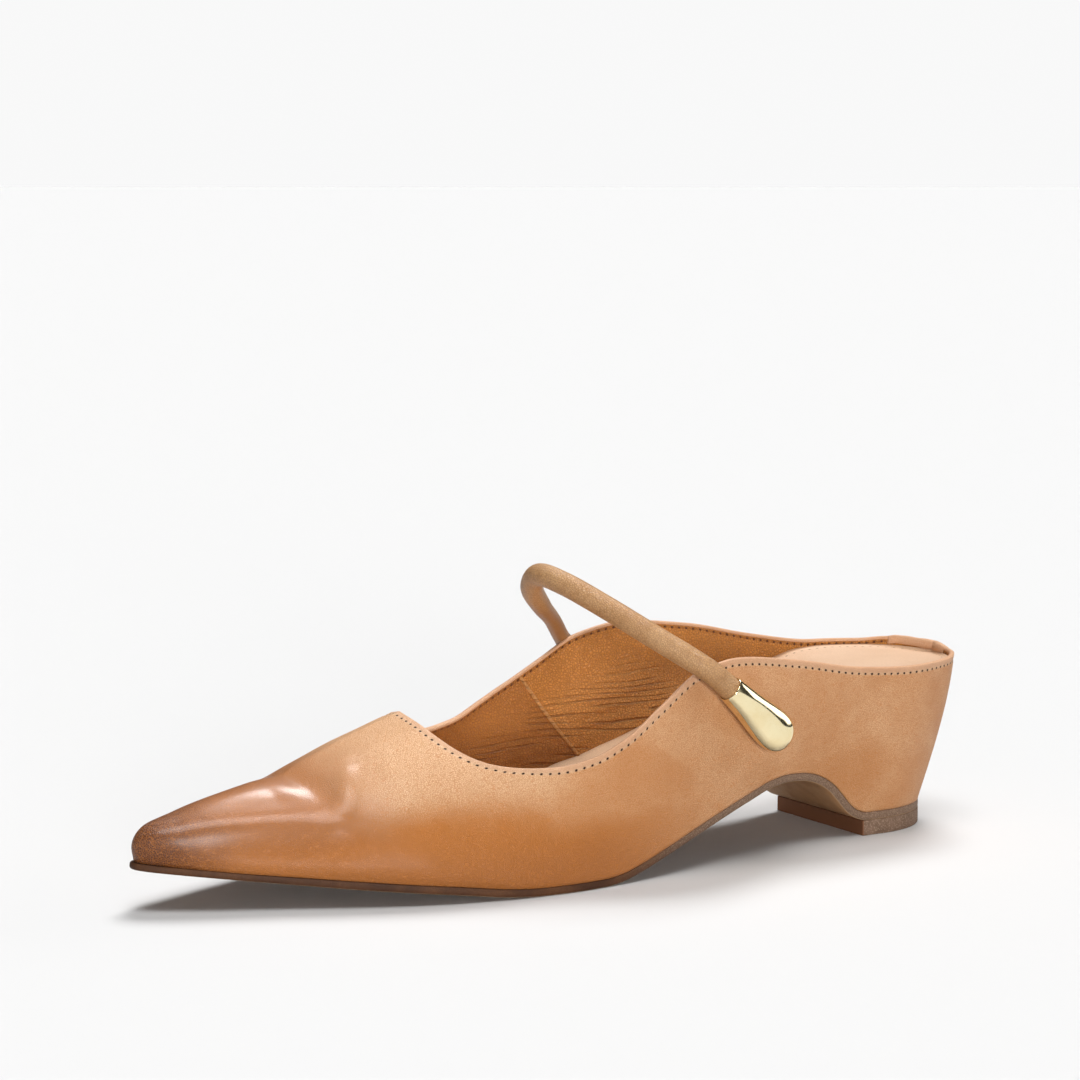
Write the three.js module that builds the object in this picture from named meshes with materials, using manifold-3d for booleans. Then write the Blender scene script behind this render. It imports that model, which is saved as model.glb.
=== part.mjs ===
import * as THREE from "three";
import Module from "manifold-3d";

const wasm = await Module();
wasm.setup();

// Left mule shoe on a low wedge. Millimetres, toe towards +X, wearer's left is +Y, floor at z = 0.

// Plan of the sole
const SOLE_LENGTH = 246.4; // heel end to toe tip
const BALL_LATERAL = 39.7; // foot line to the sole's outer edge at the ball
const BALL_MEDIAL = 35; // foot line to the sole's inner edge at the ball
const TOE_SWING = 3.8; // toe tip set towards the inner side of the heel's middle
const HEEL_CURVE = 24; // length of the heel's round back
const HEEL_BREAST = 31; // length of the top piece

// Heights over the floor
const TOP_PIECE_THICK = 4.15;
const SOLE_THICK = 2.3;
const ARCH_RISE = 21.6; // sole's upper face under the waist
const TOE_SPRING = 12.6; // sole's upper face at the toe tip
const SEAT_HEIGHT = 47; // insole's upper face at the heel
const COLLAR_RISE = 2.4; // topline over the heel seat at the back
const INSTEP_HEIGHT = 59.1; // highest point of the topline, inner side
const VAMP_RISE = 40.4; // vamp's ridge over the sole at the throat

// Upper and footbed
const WALL = 2;
const INSOLE_THICK = 2.2;
const SIDE_BULGE = 1; // skin's swell outside the line from sole to topline
const BALL_ROLL = 0.9; // skin's overhang of the sole edge at the ball
const TOE_ROLL = 0.4; // the same at the toe
const ROLL_HEIGHT = 4.5;
const RIM_CREST = 0.4; // folded edge's round over the wall
const WEDGE_REACH = 0.52; // wedge block's front end, share of the sole's length
const INSOLE_REACH = 0.942; // insole's front end, share of the sole's length
const GAP = 0.3; // clearance of touching pieces

// Strap, caps and back tab
const STRAP_WIDTH = 6.4;
const STRAP_PEAK = 79; // strap's middle line over the floor
const CAP_LENGTH = 26.6;
const CAP_WIDTH = 11.8;
const CAP_PLACE = 87; // caps' mouths from the heel end
const CAP_FORWARD = 3.4; // inner cap's place in front of the outer one
const CAP_MOUTH_HEIGHT = 49.2;
const CAP_DROP = 38.8; // caps' slope from level, degrees
const TAB_DEPTH = 5; // back tab's fall outside
const TAB_INSIDE = 1.7; // back tab's fall inside
const TAB_THICK = 0.6;
const TAB_WIDTH = 25;
const TAB_SHIFT = 4; // tab's middle towards the inner side

// Mesh counts
const SIDE_STATIONS = 44;
const WALL_ROWS = 12;
const RING_SIDES = 12;
const STRAP_STATIONS = 34;
const CAP_STATIONS = 12;
const TAB_STATIONS = 10;

// Sole's half widths on either side of the foot line, as shares of the ball's
const LATERAL_EDGE = [
  { at: 0, out: 0.533 }, { at: 0.125, out: 0.533 }, { at: 0.188, out: 0.585 },
  { at: 0.258, out: 0.667 }, { at: 0.309, out: 0.733 }, { at: 0.377, out: 0.823 },
  { at: 0.442, out: 0.905 }, { at: 0.516, out: 0.973 }, { at: 0.559, out: 1 },
  { at: 0.606, out: 0.993 }, { at: 0.705, out: 0.893 }, { at: 0.793, out: 0.697 },
  { at: 0.839, out: 0.566 }, { at: 0.906, out: 0.381 }, { at: 0.964, out: 0.209 },
  { at: 0.989, out: 0.109 }, { at: 1, out: 0 },
];
const MEDIAL_EDGE = [
  { at: 0, out: 0.604 }, { at: 0.125, out: 0.6 }, { at: 0.188, out: 0.605 },
  { at: 0.258, out: 0.606 }, { at: 0.309, out: 0.631 }, { at: 0.377, out: 0.715 },
  { at: 0.442, out: 0.818 }, { at: 0.516, out: 0.931 }, { at: 0.578, out: 0.989 },
  { at: 0.625, out: 1 }, { at: 0.672, out: 0.97 }, { at: 0.743, out: 0.844 },
  { at: 0.821, out: 0.645 }, { at: 0.879, out: 0.482 }, { at: 0.938, out: 0.306 },
  { at: 0.977, out: 0.174 }, { at: 1, out: 0 },
];

// Sole's upper face along the foot: shares of the heel's stack, the arch and the toe spring,
// each added over the sole's own thickness
const SOLE_PROFILE = [
  { at: 0, heel: 1, arch: 0, toe: 0 }, { at: 0.12, heel: 1, arch: 0, toe: 0 },
  { at: 0.131, heel: 0.92, arch: 0.055, toe: 0 }, { at: 0.142, heel: 0.6, arch: 0.22, toe: 0 },
  { at: 0.156, heel: 0.3, arch: 0.47, toe: 0 }, { at: 0.17, heel: 0.1, arch: 0.69, toe: 0 },
  { at: 0.188, heel: 0, arch: 0.857, toe: 0 }, { at: 0.205, heel: 0, arch: 0.94, toe: 0 },
  { at: 0.222, heel: 0, arch: 0.982, toe: 0 }, { at: 0.245, heel: 0, arch: 1, toe: 0 },
  { at: 0.27, heel: 0, arch: 0.965, toe: 0 }, { at: 0.309, heel: 0, arch: 0.823, toe: 0 },
  { at: 0.377, heel: 0, arch: 0.54, toe: 0 }, { at: 0.442, heel: 0, arch: 0.25, toe: 0 },
  { at: 0.474, heel: 0, arch: 0.11, toe: 0 }, { at: 0.5, heel: 0, arch: 0.025, toe: 0 },
  { at: 0.52, heel: 0, arch: 0, toe: 0 }, { at: 0.59, heel: 0, arch: 0, toe: 0 },
  { at: 0.62, heel: 0, arch: 0, toe: 0.03 }, { at: 0.705, heel: 0, arch: 0, toe: 0.255 },
  { at: 0.793, heel: 0, arch: 0, toe: 0.47 }, { at: 0.906, heel: 0, arch: 0, toe: 0.75 },
  { at: 1, heel: 0, arch: 0, toe: 1 },
];

// Insole's upper face behind the ball, share of the seat's height
const SEAT_PROFILE = [
  { at: -0.1, up: 1 }, { at: 0.05, up: 1 }, { at: 0.09, up: 0.988 }, { at: 0.122, up: 0.95 },
  { at: 0.183, up: 0.865 }, { at: 0.244, up: 0.758 }, { at: 0.292, up: 0.658 },
  { at: 0.325, up: 0.577 }, { at: 0.365, up: 0.48 }, { at: 0.406, up: 0.384 },
  { at: 0.446, up: 0.294 }, { at: 0.487, up: 0.213 }, { at: 0.528, up: 0.155 },
  { at: 0.57, up: 0.119 }, { at: 0.62, up: 0.103 },
];

// Vamp's ridge over the sole, share of the rise at the throat
const RIDGE = [
  { at: 0.5, up: 1.5 }, { at: 0.586, up: 1.29 }, { at: 0.645, up: 1.115 }, { at: 0.686, up: 1 },
  { at: 0.723, up: 0.895 }, { at: 0.758, up: 0.8 }, { at: 0.793, up: 0.69 },
  { at: 0.829, up: 0.583 }, { at: 0.877, up: 0.473 }, { at: 0.921, up: 0.38 },
  { at: 0.961, up: 0.288 }, { at: 0.984, up: 0.225 }, { at: 0.997, up: 0.12 }, { at: 1, up: 0 },
];

// Topline. Row: share of length at the sole edge, then the point above it as shares of the
// length, of the ball's half width, and of the heel's and the instep's topline heights
const LATERAL_TOP = [
  { at: 0, along: -0.047, out: 0, heel: 1, instep: 0 },
  { at: 0.012, along: -0.029, out: 0.34, heel: 0.99, instep: 0 },
  { at: 0.047, along: 0.012, out: 0.556, heel: 0.982, instep: 0 },
  { at: 0.094, along: 0.07, out: 0.675, heel: 0.982, instep: 0 },
  { at: 0.156, along: 0.149, out: 0.703, heel: 0.9, instep: 0.09 },
  { at: 0.242, along: 0.242, out: 0.725, heel: 0.4, instep: 0.576 },
  { at: 0.328, along: 0.329, out: 0.772, heel: 0, instep: 0.953 },
  { at: 0.383, along: 0.383, out: 0.816, heel: 0, instep: 0.912 },
  { at: 0.434, along: 0.434, out: 0.85, heel: 0, instep: 0.782 },
  { at: 0.485, along: 0.482, out: 0.871, heel: 0, instep: 0.65 },
  { at: 0.535, along: 0.524, out: 0.867, heel: 0, instep: 0.577 },
  { at: 0.594, along: 0.567, out: 0.839, heel: 0, instep: 0.549 },
  { at: 0.664, along: 0.606, out: 0.796, heel: 0, instep: 0.557 },
  { at: 0.742, along: 0.639, out: 0.731, heel: 0, instep: 0.581 },
  { at: 0.82, along: 0.662, out: 0.631, heel: 0, instep: 0.624 },
  { at: 0.898, along: 0.676, out: 0.481, heel: 0, instep: 0.676 },
  { at: 0.961, along: 0.684, out: 0.289, heel: 0, instep: 0.728 },
  { at: 1, along: 0.686, out: 0, heel: 0, instep: 0.766 },
];
const MEDIAL_TOP = [
  { at: 0, along: -0.047, out: 0, heel: 1, instep: 0 },
  { at: 0.012, along: -0.029, out: 0.358, heel: 1.01, instep: 0 },
  { at: 0.047, along: 0.008, out: 0.606, heel: 0.993, instep: 0 },
  { at: 0.094, along: 0.063, out: 0.738, heel: 0.996, instep: 0 },
  { at: 0.156, along: 0.149, out: 0.787, heel: 0.8, instep: 0.215 },
  { at: 0.242, along: 0.242, out: 0.81, heel: 0.3, instep: 0.715 },
  { at: 0.328, along: 0.328, out: 0.851, heel: 0, instep: 1 },
  { at: 0.383, along: 0.383, out: 0.893, heel: 0, instep: 0.956 },
  { at: 0.434, along: 0.434, out: 0.931, heel: 0, instep: 0.839 },
  { at: 0.485, along: 0.483, out: 0.934, heel: 0, instep: 0.73 },
  { at: 0.535, along: 0.516, out: 0.904, heel: 0, instep: 0.668 },
  { at: 0.594, along: 0.555, out: 0.851, heel: 0, instep: 0.603 },
  { at: 0.664, along: 0.596, out: 0.777, heel: 0, instep: 0.581 },
  { at: 0.742, along: 0.629, out: 0.689, heel: 0, instep: 0.6 },
  { at: 0.82, along: 0.657, out: 0.554, heel: 0, instep: 0.643 },
  { at: 0.898, along: 0.671, out: 0.377, heel: 0, instep: 0.694 },
  { at: 0.961, along: 0.682, out: 0.185, heel: 0, instep: 0.742 },
  { at: 1, along: 0.686, out: 0, heel: 0, instep: 0.766 },
];

// Cap's radius from its mouth to its tip, share of its widest radius
const CAP_SHAPE = [
  { at: 0, out: 0.62 }, { at: 0.05, out: 0.68 }, { at: 0.14, out: 0.68 }, { at: 0.19, out: 0.62 },
  { at: 0.3, out: 0.72 }, { at: 0.45, out: 0.86 }, { at: 0.6, out: 0.97 }, { at: 0.72, out: 1 },
  { at: 0.84, out: 0.9 }, { at: 0.93, out: 0.68 }, { at: 0.98, out: 0.38 }, { at: 1, out: 0.12 },
];

const mix = THREE.MathUtils.lerp;
const smooth = THREE.MathUtils.smoothstep;

// Smooth curve through a table's rows without overshoot between them
function read(rows, column, at, warp = (v) => v) {
  const x = rows.map((row) => warp(row.at));
  const y = rows.map((row) => row[column]);
  const q = warp(at);
  const way = x[x.length - 1] > x[0] ? 1 : -1;
  let i = 0;
  while (i < x.length - 2 && (q - x[i + 1]) * way > 0) i += 1;
  const slope = (k) => (y[k + 1] - y[k]) / (x[k + 1] - x[k]);
  const tangent = (k) => {
    if (k === 0) return slope(0);
    if (k === x.length - 1) return slope(k - 1);
    const before = slope(k - 1);
    const after = slope(k);
    if (before * after <= 0) return 0;
    const a = Math.abs(x[k + 1] - x[k]);
    const b = Math.abs(x[k] - x[k - 1]);
    return (3 * (a + b)) / ((2 * a + b) / before + (a + 2 * b) / after);
  };
  const span = x[i + 1] - x[i];
  const t = THREE.MathUtils.clamp((q - x[i]) / span, 0, 1);
  const t2 = t * t;
  const t3 = t2 * t;
  return (2 * t3 - 3 * t2 + 1) * y[i] + (t3 - 2 * t2 + t) * span * tangent(i)
    + (3 * t2 - 2 * t3) * y[i + 1] + (t3 - t2) * span * tangent(i + 1);
}

// Toe-end tables are read over the square root of the distance to the tip, so the nose is round
const fromTip = (at) => Math.sqrt(Math.max(0, 1 - at));
const footLine = (x) => -TOE_SWING * (Math.max(0, x) / SOLE_LENGTH) ** 2;

const SIDES = {
  lateral: { sign: 1, ball: BALL_LATERAL, edge: LATERAL_EDGE, top: LATERAL_TOP, forward: 0 },
  medial: { sign: -1, ball: BALL_MEDIAL, edge: MEDIAL_EDGE, top: MEDIAL_TOP, forward: CAP_FORWARD },
};

function halfWidth(side, x) {
  const back = x < HEEL_CURVE ? Math.sqrt(Math.max(0, 1 - (1 - x / HEEL_CURVE) ** 2)) : 1;
  return side.ball * back * read(side.edge, "out", Math.min(1, x / SOLE_LENGTH), fromTip);
}

function soleTop(x) {
  const at = THREE.MathUtils.clamp(x / SOLE_LENGTH, 0, 1);
  return SOLE_THICK + (TOP_PIECE_THICK + GAP) * read(SOLE_PROFILE, "heel", at)
    + (ARCH_RISE - SOLE_THICK) * read(SOLE_PROFILE, "arch", at)
    + (TOE_SPRING - SOLE_THICK) * read(SOLE_PROFILE, "toe", at);
}

const feather = (x) => soleTop(x) + GAP;

function vampHeight(side, x, y) {
  const at = Math.min(1, x / SOLE_LENGTH);
  const roll = mix(BALL_ROLL, TOE_ROLL, smooth(at, 0.7, 0.95));
  const reach = halfWidth(side, x) + roll;
  const across = Math.min(1, Math.abs(y - footLine(x)) / Math.max(reach, 1e-6));
  const rise = VAMP_RISE * read(RIDGE, "up", at, fromTip);
  return feather(x) + rise * Math.sqrt(1 - across * across);
}

// Places of the stations along one side of the sole edge, closer together at the nose and the heel
function stationPlaces(side) {
  const steps = 600;
  const xs = [];
  for (let k = 0; k <= steps; k += 1) xs.push(SOLE_LENGTH * (1 - Math.cos((Math.PI * k) / steps)) / 2);
  const weight = [0];
  for (let k = 1; k <= steps; k += 1) {
    const step = new THREE.Vector3(xs[k] - xs[k - 1], halfWidth(side, xs[k]) - halfWidth(side, xs[k - 1]), 0);
    step.z = soleTop(xs[k]) - soleTop(xs[k - 1]);
    const nose = 3.2 * Math.exp(-(SOLE_LENGTH - xs[k]) / 9);
    const heel = 0.8 * Math.exp(-xs[k] / 20);
    const breast = 1.3 * Math.exp(-(((xs[k] - HEEL_BREAST * 1.2) / 9) ** 2));
    weight.push(weight[k - 1] + step.length() * (1 + nose + heel + breast));
  }
  const places = [];
  let k = 0;
  for (let n = 0; n <= SIDE_STATIONS; n += 1) {
    const target = (weight[steps] * n) / SIDE_STATIONS;
    while (k < steps - 1 && weight[k + 1] < target) k += 1;
    const part = THREE.MathUtils.clamp((target - weight[k]) / (weight[k + 1] - weight[k]), 0, 1);
    places.push(mix(xs[k], xs[k + 1], part));
  }
  return places;
}

const PLACES = stationPlaces(SIDES.lateral);

function footPoint(side, x) {
  return new THREE.Vector3(x, footLine(x) + side.sign * halfWidth(side, x), feather(x));
}

function edgeNormal(side, x) {
  if (x <= 0) return new THREE.Vector3(-1, 0, 0);
  if (x >= SOLE_LENGTH) return new THREE.Vector3(1, 0, 0);
  const step = Math.min(0.5, x / 2, (SOLE_LENGTH - x) / 2);
  const a = footPoint(side, x - step);
  const b = footPoint(side, x + step);
  return new THREE.Vector3(-(b.y - a.y) * side.sign, (b.x - a.x) * side.sign, 0).normalize();
}

const domeShare = (at) => smooth(at, 0.5, 0.66);

function topPoint(side, x) {
  const at = x / SOLE_LENGTH;
  const place = read(side.top, "along", at) * SOLE_LENGTH;
  const y = footLine(place) + side.sign * side.ball * read(side.top, "out", at);
  const level = (SEAT_HEIGHT + COLLAR_RISE) * read(side.top, "heel", at)
    + INSTEP_HEIGHT * read(side.top, "instep", at);
  return new THREE.Vector3(place, y, level);
}

// One line of the skin's outside from the sole edge to the topline, evenly stepped
function skinLine(side, x, rows) {
  const at = x / SOLE_LENGTH;
  const foot = footPoint(side, x);
  const top = topPoint(side, x);
  const out = edgeNormal(side, x);
  const flare = Math.hypot(top.x - foot.x, top.y - foot.y);
  const low = foot.clone().lerp(top, 1 / 3).addScaledVector(out, SIDE_BULGE);
  const high = foot.clone().lerp(top, 2 / 3).addScaledVector(out, SIDE_BULGE + flare * 0.1);
  const wall = new THREE.CubicBezierCurve3(foot, low, high, top);
  const k = domeShare(at);
  const roll = mix(BALL_ROLL, TOE_ROLL, smooth(at, 0.7, 0.95));
  const start = foot.clone().addScaledVector(out, roll);
  const lift = top.z - vampHeight(side, top.x, top.y);
  const line = [];
  const steps = 48;
  for (let n = 0; n <= steps; n += 1) {
    const t = n / steps;
    const straight = wall.getPoint(t);
    if (k === 0) {
      line.push(straight);
      continue;
    }
    const part = t * t;
    const p = new THREE.Vector3(mix(start.x, top.x, part), mix(start.y, top.y, part), 0);
    p.z = vampHeight(side, p.x, p.y) + lift * part;
    const tuck = Math.max(0, 1 - (p.z - foot.z) / ROLL_HEIGHT);
    p.addScaledVector(out, -roll * (1 - Math.sqrt(Math.max(0, 1 - tuck * tuck))));
    line.push(straight.lerp(p, k));
  }
  const polyline = new THREE.CurvePath();
  for (let n = 0; n < steps; n += 1) polyline.add(new THREE.LineCurve3(line[n], line[n + 1]));
  const even = [];
  for (let n = 0; n <= rows; n += 1) even.push(polyline.getPointAt(n / rows));
  return even;
}

// Loops run from the heel's back along the outer side to the toe tip and back along the inner side
function around(rows) {
  const lines = [];
  for (let n = 0; n <= SIDE_STATIONS; n += 1) lines.push(skinLine(SIDES.lateral, PLACES[n], rows));
  for (let n = SIDE_STATIONS - 1; n > 0; n -= 1) lines.push(skinLine(SIDES.medial, PLACES[n], rows));
  return lines;
}

function skinNormals(lines) {
  const count = lines.length;
  const rows = lines[0].length;
  return lines.map((line, i) => line.map((point, j) => {
    const next = lines[(i + 1) % count][j];
    const last = lines[(i + count - 1) % count][j];
    const above = line[Math.min(rows - 1, j + 1)];
    const below = line[Math.max(0, j - 1)];
    const along = next.clone().sub(last);
    return along.cross(above.clone().sub(below)).normalize().negate();
  }));
}

const SKIN = around(WALL_ROWS);
const NORMALS = skinNormals(SKIN);

// Skin moved inwards by a depth, its lowest row kept on the sole
function inward(depth) {
  return SKIN.map((line, i) => line.map((point, j) => {
    const normal = NORMALS[i][j];
    const moved = point.clone().addScaledVector(normal, -depth);
    if (j > 0) return moved;
    const level = new THREE.Vector3(normal.x, normal.y, 0).normalize();
    moved.copy(point).addScaledVector(level, -depth);
    moved.z = feather(THREE.MathUtils.clamp(moved.x, 0, SOLE_LENGTH));
    return moved;
  }));
}

const loopAt = (lines, j) => lines.map((line) => line[j]);

// Solid from a stack of equal loops; a ring closes on itself, any other gets a cap at both ends
function stack(loops, ring) {
  const count = loops[0].length;
  const points = loops.flat();
  const faces = [];
  const quad = (a, b, c, d) => {
    const cut = points[a].distanceTo(points[c]) <= points[b].distanceTo(points[d]);
    if (cut) faces.push(a, b, c, a, c, d);
    else faces.push(a, b, d, b, c, d);
  };
  const levels = ring ? loops.length : loops.length - 1;
  for (let j = 0; j < levels; j += 1) {
    const up = ((j + 1) % loops.length) * count;
    for (let i = 0; i < count; i += 1) {
      const next = (i + 1) % count;
      quad(j * count + i, j * count + next, up + next, up + i);
    }
  }
  if (!ring) {
    const half = count / 2;
    const last = (loops.length - 1) * count;
    for (const [base, flip] of [[0, true], [last, false]]) {
      const tri = (a, b, c) => faces.push(base + a, base + (flip ? c : b), base + (flip ? b : c));
      tri(0, 1, count - 1);
      for (let i = 1; i < half - 1; i += 1) {
        tri(i, i + 1, count - i);
        tri(i + 1, count - i - 1, count - i);
      }
      tri(half - 1, half, half + 1);
    }
  }
  return facesToGeometry(points, faces);
}

function facesToGeometry(points, faces) {
  const geometry = new THREE.BufferGeometry().setFromPoints(points);
  geometry.setIndex(faces);
  const cross = new THREE.Vector3();
  let volume = 0;
  for (let f = 0; f < faces.length; f += 3) {
    const [a, b, c] = [points[faces[f]], points[faces[f + 1]], points[faces[f + 2]]];
    volume += a.dot(cross.crossVectors(b, c));
  }
  if (volume < 0) {
    for (let f = 0; f < faces.length; f += 3) [faces[f + 1], faces[f + 2]] = [faces[f + 2], faces[f + 1]];
    geometry.setIndex(faces);
  }
  return geometry;
}

function toManifold(geometry) {
  return new wasm.Manifold(new wasm.Mesh({
    numProp: 3,
    vertProperties: new Float32Array(geometry.attributes.position.array),
    triVerts: new Uint32Array(geometry.index.array),
  }));
}

function fromManifold(manifold) {
  const mesh = manifold.getMesh();
  const geometry = new THREE.BufferGeometry();
  geometry.setAttribute("position", new THREE.BufferAttribute(new Float32Array(mesh.vertProperties), 3));
  geometry.setIndex(Array.from(mesh.triVerts));
  return geometry;
}

// Bar across the whole shoe with an outline drawn in length and height
function crossBar(lower, upper) {
  const outline = [...lower, ...upper.slice().reverse()];
  const shape = new THREE.Shape(outline.map(([x, z]) => new THREE.Vector2(x, z)));
  const width = 3 * (BALL_LATERAL + BALL_MEDIAL);
  const bar = new THREE.ExtrudeGeometry(shape, { depth: width, bevelEnabled: false, steps: 1 });
  bar.rotateX(Math.PI / 2);
  bar.translate(0, width / 2, 0);
  const seen = new Map();
  const points = [];
  const position = bar.attributes.position;
  const faces = [];
  for (let i = 0; i < position.count; i += 1) {
    const p = new THREE.Vector3().fromBufferAttribute(position, i);
    const name = p.toArray().map((v) => v.toFixed(4)).join();
    if (!seen.has(name)) {
      seen.set(name, points.length);
      points.push(p);
    }
    faces.push(seen.get(name));
  }
  return toManifold(facesToGeometry(points, faces));
}

// Upper: outside rows, folded rim, inside rows, closed on itself under the sole edge
function upper() {
  const inside = inward(WALL);
  const crest = SKIN.map((line, i) => {
    const top = line[WALL_ROWS];
    const up = top.clone().sub(line[WALL_ROWS - 1]).normalize();
    return top.clone().lerp(inside[i][WALL_ROWS], 0.5).addScaledVector(up, RIM_CREST);
  });
  const loops = [];
  for (let j = 0; j <= WALL_ROWS; j += 1) loops.push(loopAt(SKIN, j));
  loops.push(crest);
  for (let j = WALL_ROWS; j >= 0; j -= 1) loops.push(loopAt(inside, j));
  return stack(loops, true);
}

// Room inside the upper, left clear of its wall
function innerRoom() {
  const room = inward(WALL + GAP);
  const loops = [];
  for (let j = 0; j <= WALL_ROWS; j += 1) loops.push(loopAt(room, j));
  loops[0] = loops[0].map((p) => new THREE.Vector3(p.x, p.y, p.z - 2 * GAP));
  return toManifold(stack(loops, false));
}

const steps = (from, to, count) => Array.from({ length: count + 1 }, (_, k) => mix(from, to, k / count));

// Insole's upper face: the wedge's slope behind the ball, lying on the sole in front of it
function insoleTop(x) {
  const onSole = soleTop(Math.min(x, SOLE_LENGTH)) + GAP + INSOLE_THICK;
  const slope = SEAT_HEIGHT * read(SEAT_PROFILE, "up", x / SOLE_LENGTH);
  return mix(slope, onSole, smooth(x / SOLE_LENGTH, 0.53, 0.61));
}

// Lengths from behind the heel to an end, meeting the sole's own stations
const lengths = (end) => [-SOLE_LENGTH * 0.08, ...PLACES.filter((x) => x < end - 1), end];

function insole(room) {
  const xs = lengths(INSOLE_REACH * SOLE_LENGTH);
  const bar = crossBar(xs.map((x) => [x, insoleTop(x) - INSOLE_THICK]), xs.map((x) => [x, insoleTop(x)]));
  return fromManifold(room.intersect(bar));
}

function wedge(room) {
  const xs = lengths(WEDGE_REACH * SOLE_LENGTH);
  const lower = xs.map((x) => [x, feather(Math.max(0, x))]);
  const bar = crossBar(lower, xs.map((x) => [x, insoleTop(x) - INSOLE_THICK - GAP]));
  return fromManifold(room.intersect(bar));
}

// Edge of the sole at a station, moved square to its profile by a depth and in from its edge
function soleLoop(depth, inset) {
  const place = (side, x) => {
    const step = 0.4;
    const rise = (soleTop(x + step) - soleTop(x - step)) / (2 * step);
    const long = Math.hypot(1, rise);
    const edge = edgeNormal(side, x);
    const y = footLine(x) + side.sign * halfWidth(side, x);
    const under = new THREE.Vector3((depth * rise) / long, 0, -depth / long);
    return new THREE.Vector3(x, y, soleTop(x)).addScaledVector(edge, -inset).add(under);
  };
  const lateral = PLACES.map((x) => place(SIDES.lateral, x));
  const medial = PLACES.slice(1, -1).reverse().map((x) => place(SIDES.medial, x));
  return [...lateral, ...medial];
}

function outsole() {
  const levels = [[SOLE_THICK, 0.7], [SOLE_THICK * 0.72, 0.1], [SOLE_THICK * 0.2, 0], [0, 0.25]];
  return stack(levels.map(([depth, inset]) => soleLoop(depth, inset)), false);
}

// Top piece: the heel's outline up to a straight breast
function topPiece() {
  const outline = (inset) => {
    const shape = [];
    const turns = steps(0, Math.PI / 2, 12);
    const xs = turns.map((turn) => HEEL_CURVE * (1 - Math.cos(turn)));
    xs.push(HEEL_BREAST);
    for (const x of xs) shape.push([x, SIDES.lateral]);
    for (const x of xs.slice(1).reverse()) shape.push([x, SIDES.medial]);
    return shape.map(([x, side]) => {
      const edge = x < HEEL_BREAST ? edgeNormal(side, x) : new THREE.Vector3(1, side.sign, 0);
      const y = footLine(x) + side.sign * halfWidth(side, x);
      return new THREE.Vector2(x - edge.x * inset, y - edge.y * inset);
    });
  };
  const levels = [[0, 0.5], [0.5, 0.1], [TOP_PIECE_THICK - 0.3, 0], [TOP_PIECE_THICK, 0.3]];
  const loops = levels.map(([z, inset]) => outline(inset).map((p) => new THREE.Vector3(p.x, p.y, z)));
  const count = loops[0].length;
  const points = loops.flat();
  const faces = [];
  for (let j = 0; j < loops.length - 1; j += 1) {
    for (let i = 0; i < count; i += 1) {
      const next = (i + 1) % count;
      const [a, b, c, d] = [j * count + i, j * count + next, (j + 1) * count + next, (j + 1) * count + i];
      faces.push(a, b, c, a, c, d);
    }
  }
  const lid = THREE.ShapeUtils.triangulateShape(outline(0), []);
  const last = (loops.length - 1) * count;
  const side = Math.sign(THREE.ShapeUtils.area(outline(0)));
  for (const [a, b, c] of lid) {
    if (side > 0) faces.push(a, c, b, last + a, last + b, last + c);
    else faces.push(a, b, c, last + a, last + c, last + b);
  }
  return facesToGeometry(points, faces);
}

// Round bar along a curve with a radius at each place, closed at both ends
function roundBar(curve, radius, count, stations) {
  const frames = curve.computeFrenetFrames(count, false);
  const points = [];
  const faces = [];
  for (let n = 0; n <= count; n += 1) {
    const t = stations ? stations[n] : n / count;
    const middle = curve.getPointAt(t);
    for (let k = 0; k < RING_SIDES; k += 1) {
      const angle = (2 * Math.PI * k) / RING_SIDES;
      points.push(middle.clone()
        .addScaledVector(frames.normals[n], radius(t) * Math.cos(angle))
        .addScaledVector(frames.binormals[n], radius(t) * Math.sin(angle)));
    }
  }
  for (let n = 0; n < count; n += 1) {
    for (let k = 0; k < RING_SIDES; k += 1) {
      const next = (k + 1) % RING_SIDES;
      const [a, b] = [n * RING_SIDES + k, n * RING_SIDES + next];
      faces.push(a, b, b + RING_SIDES, a, b + RING_SIDES, a + RING_SIDES);
    }
  }
  const ends = [0, count * RING_SIDES];
  ends.forEach((base, which) => {
    points.push(curve.getPointAt(which));
    const hub = points.length - 1;
    for (let k = 0; k < RING_SIDES; k += 1) {
      const next = (k + 1) % RING_SIDES;
      if (which === 0) faces.push(hub, base + next, base + k);
      else faces.push(hub, base + k, base + next);
    }
  });
  return facesToGeometry(points, faces);
}

// Outside of the skin at a place along the foot and a height
function skinOut(side, x, z) {
  let best = null;
  for (const place of steps(x - 12, x + 12, 24)) {
    for (const point of skinLine(side, place, 24)) {
      const far = Math.hypot(point.x - x, point.z - z);
      if (!best || far < best.far) best = { far, y: Math.abs(point.y) };
    }
  }
  return best.y;
}

// Middle line of a cap from its mouth to its tip, lying along the outside of the skin
function capLine(side) {
  const slope = THREE.MathUtils.degToRad(CAP_DROP);
  const widest = CAP_SHAPE.find((row) => row.out === 1).at;
  const spot = (share, clear) => {
    const x = CAP_PLACE + side.forward - CAP_LENGTH * share * Math.cos(slope);
    const z = CAP_MOUTH_HEIGHT - CAP_LENGTH * share * Math.sin(slope);
    return [x, z, skinOut(side, x, z) + clear];
  };
  const mouth = spot(0, (CAP_WIDTH / 2) * CAP_SHAPE[1].out + 2 * GAP);
  const belly = spot(widest, CAP_WIDTH / 2 + 2 * GAP);
  const tip = spot(1, 0);
  const reach = mouth[2] + (belly[2] - mouth[2]) / widest;
  return new THREE.LineCurve3(
    new THREE.Vector3(mouth[0], side.sign * mouth[2], mouth[1]),
    new THREE.Vector3(tip[0], side.sign * reach, tip[1]),
  );
}

function cap(line) {
  const stations = CAP_SHAPE.map((row) => row.at);
  const radius = (t) => (CAP_WIDTH / 2) * read(CAP_SHAPE, "out", t);
  return roundBar(line, radius, CAP_STATIONS - 1, stations);
}

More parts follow.
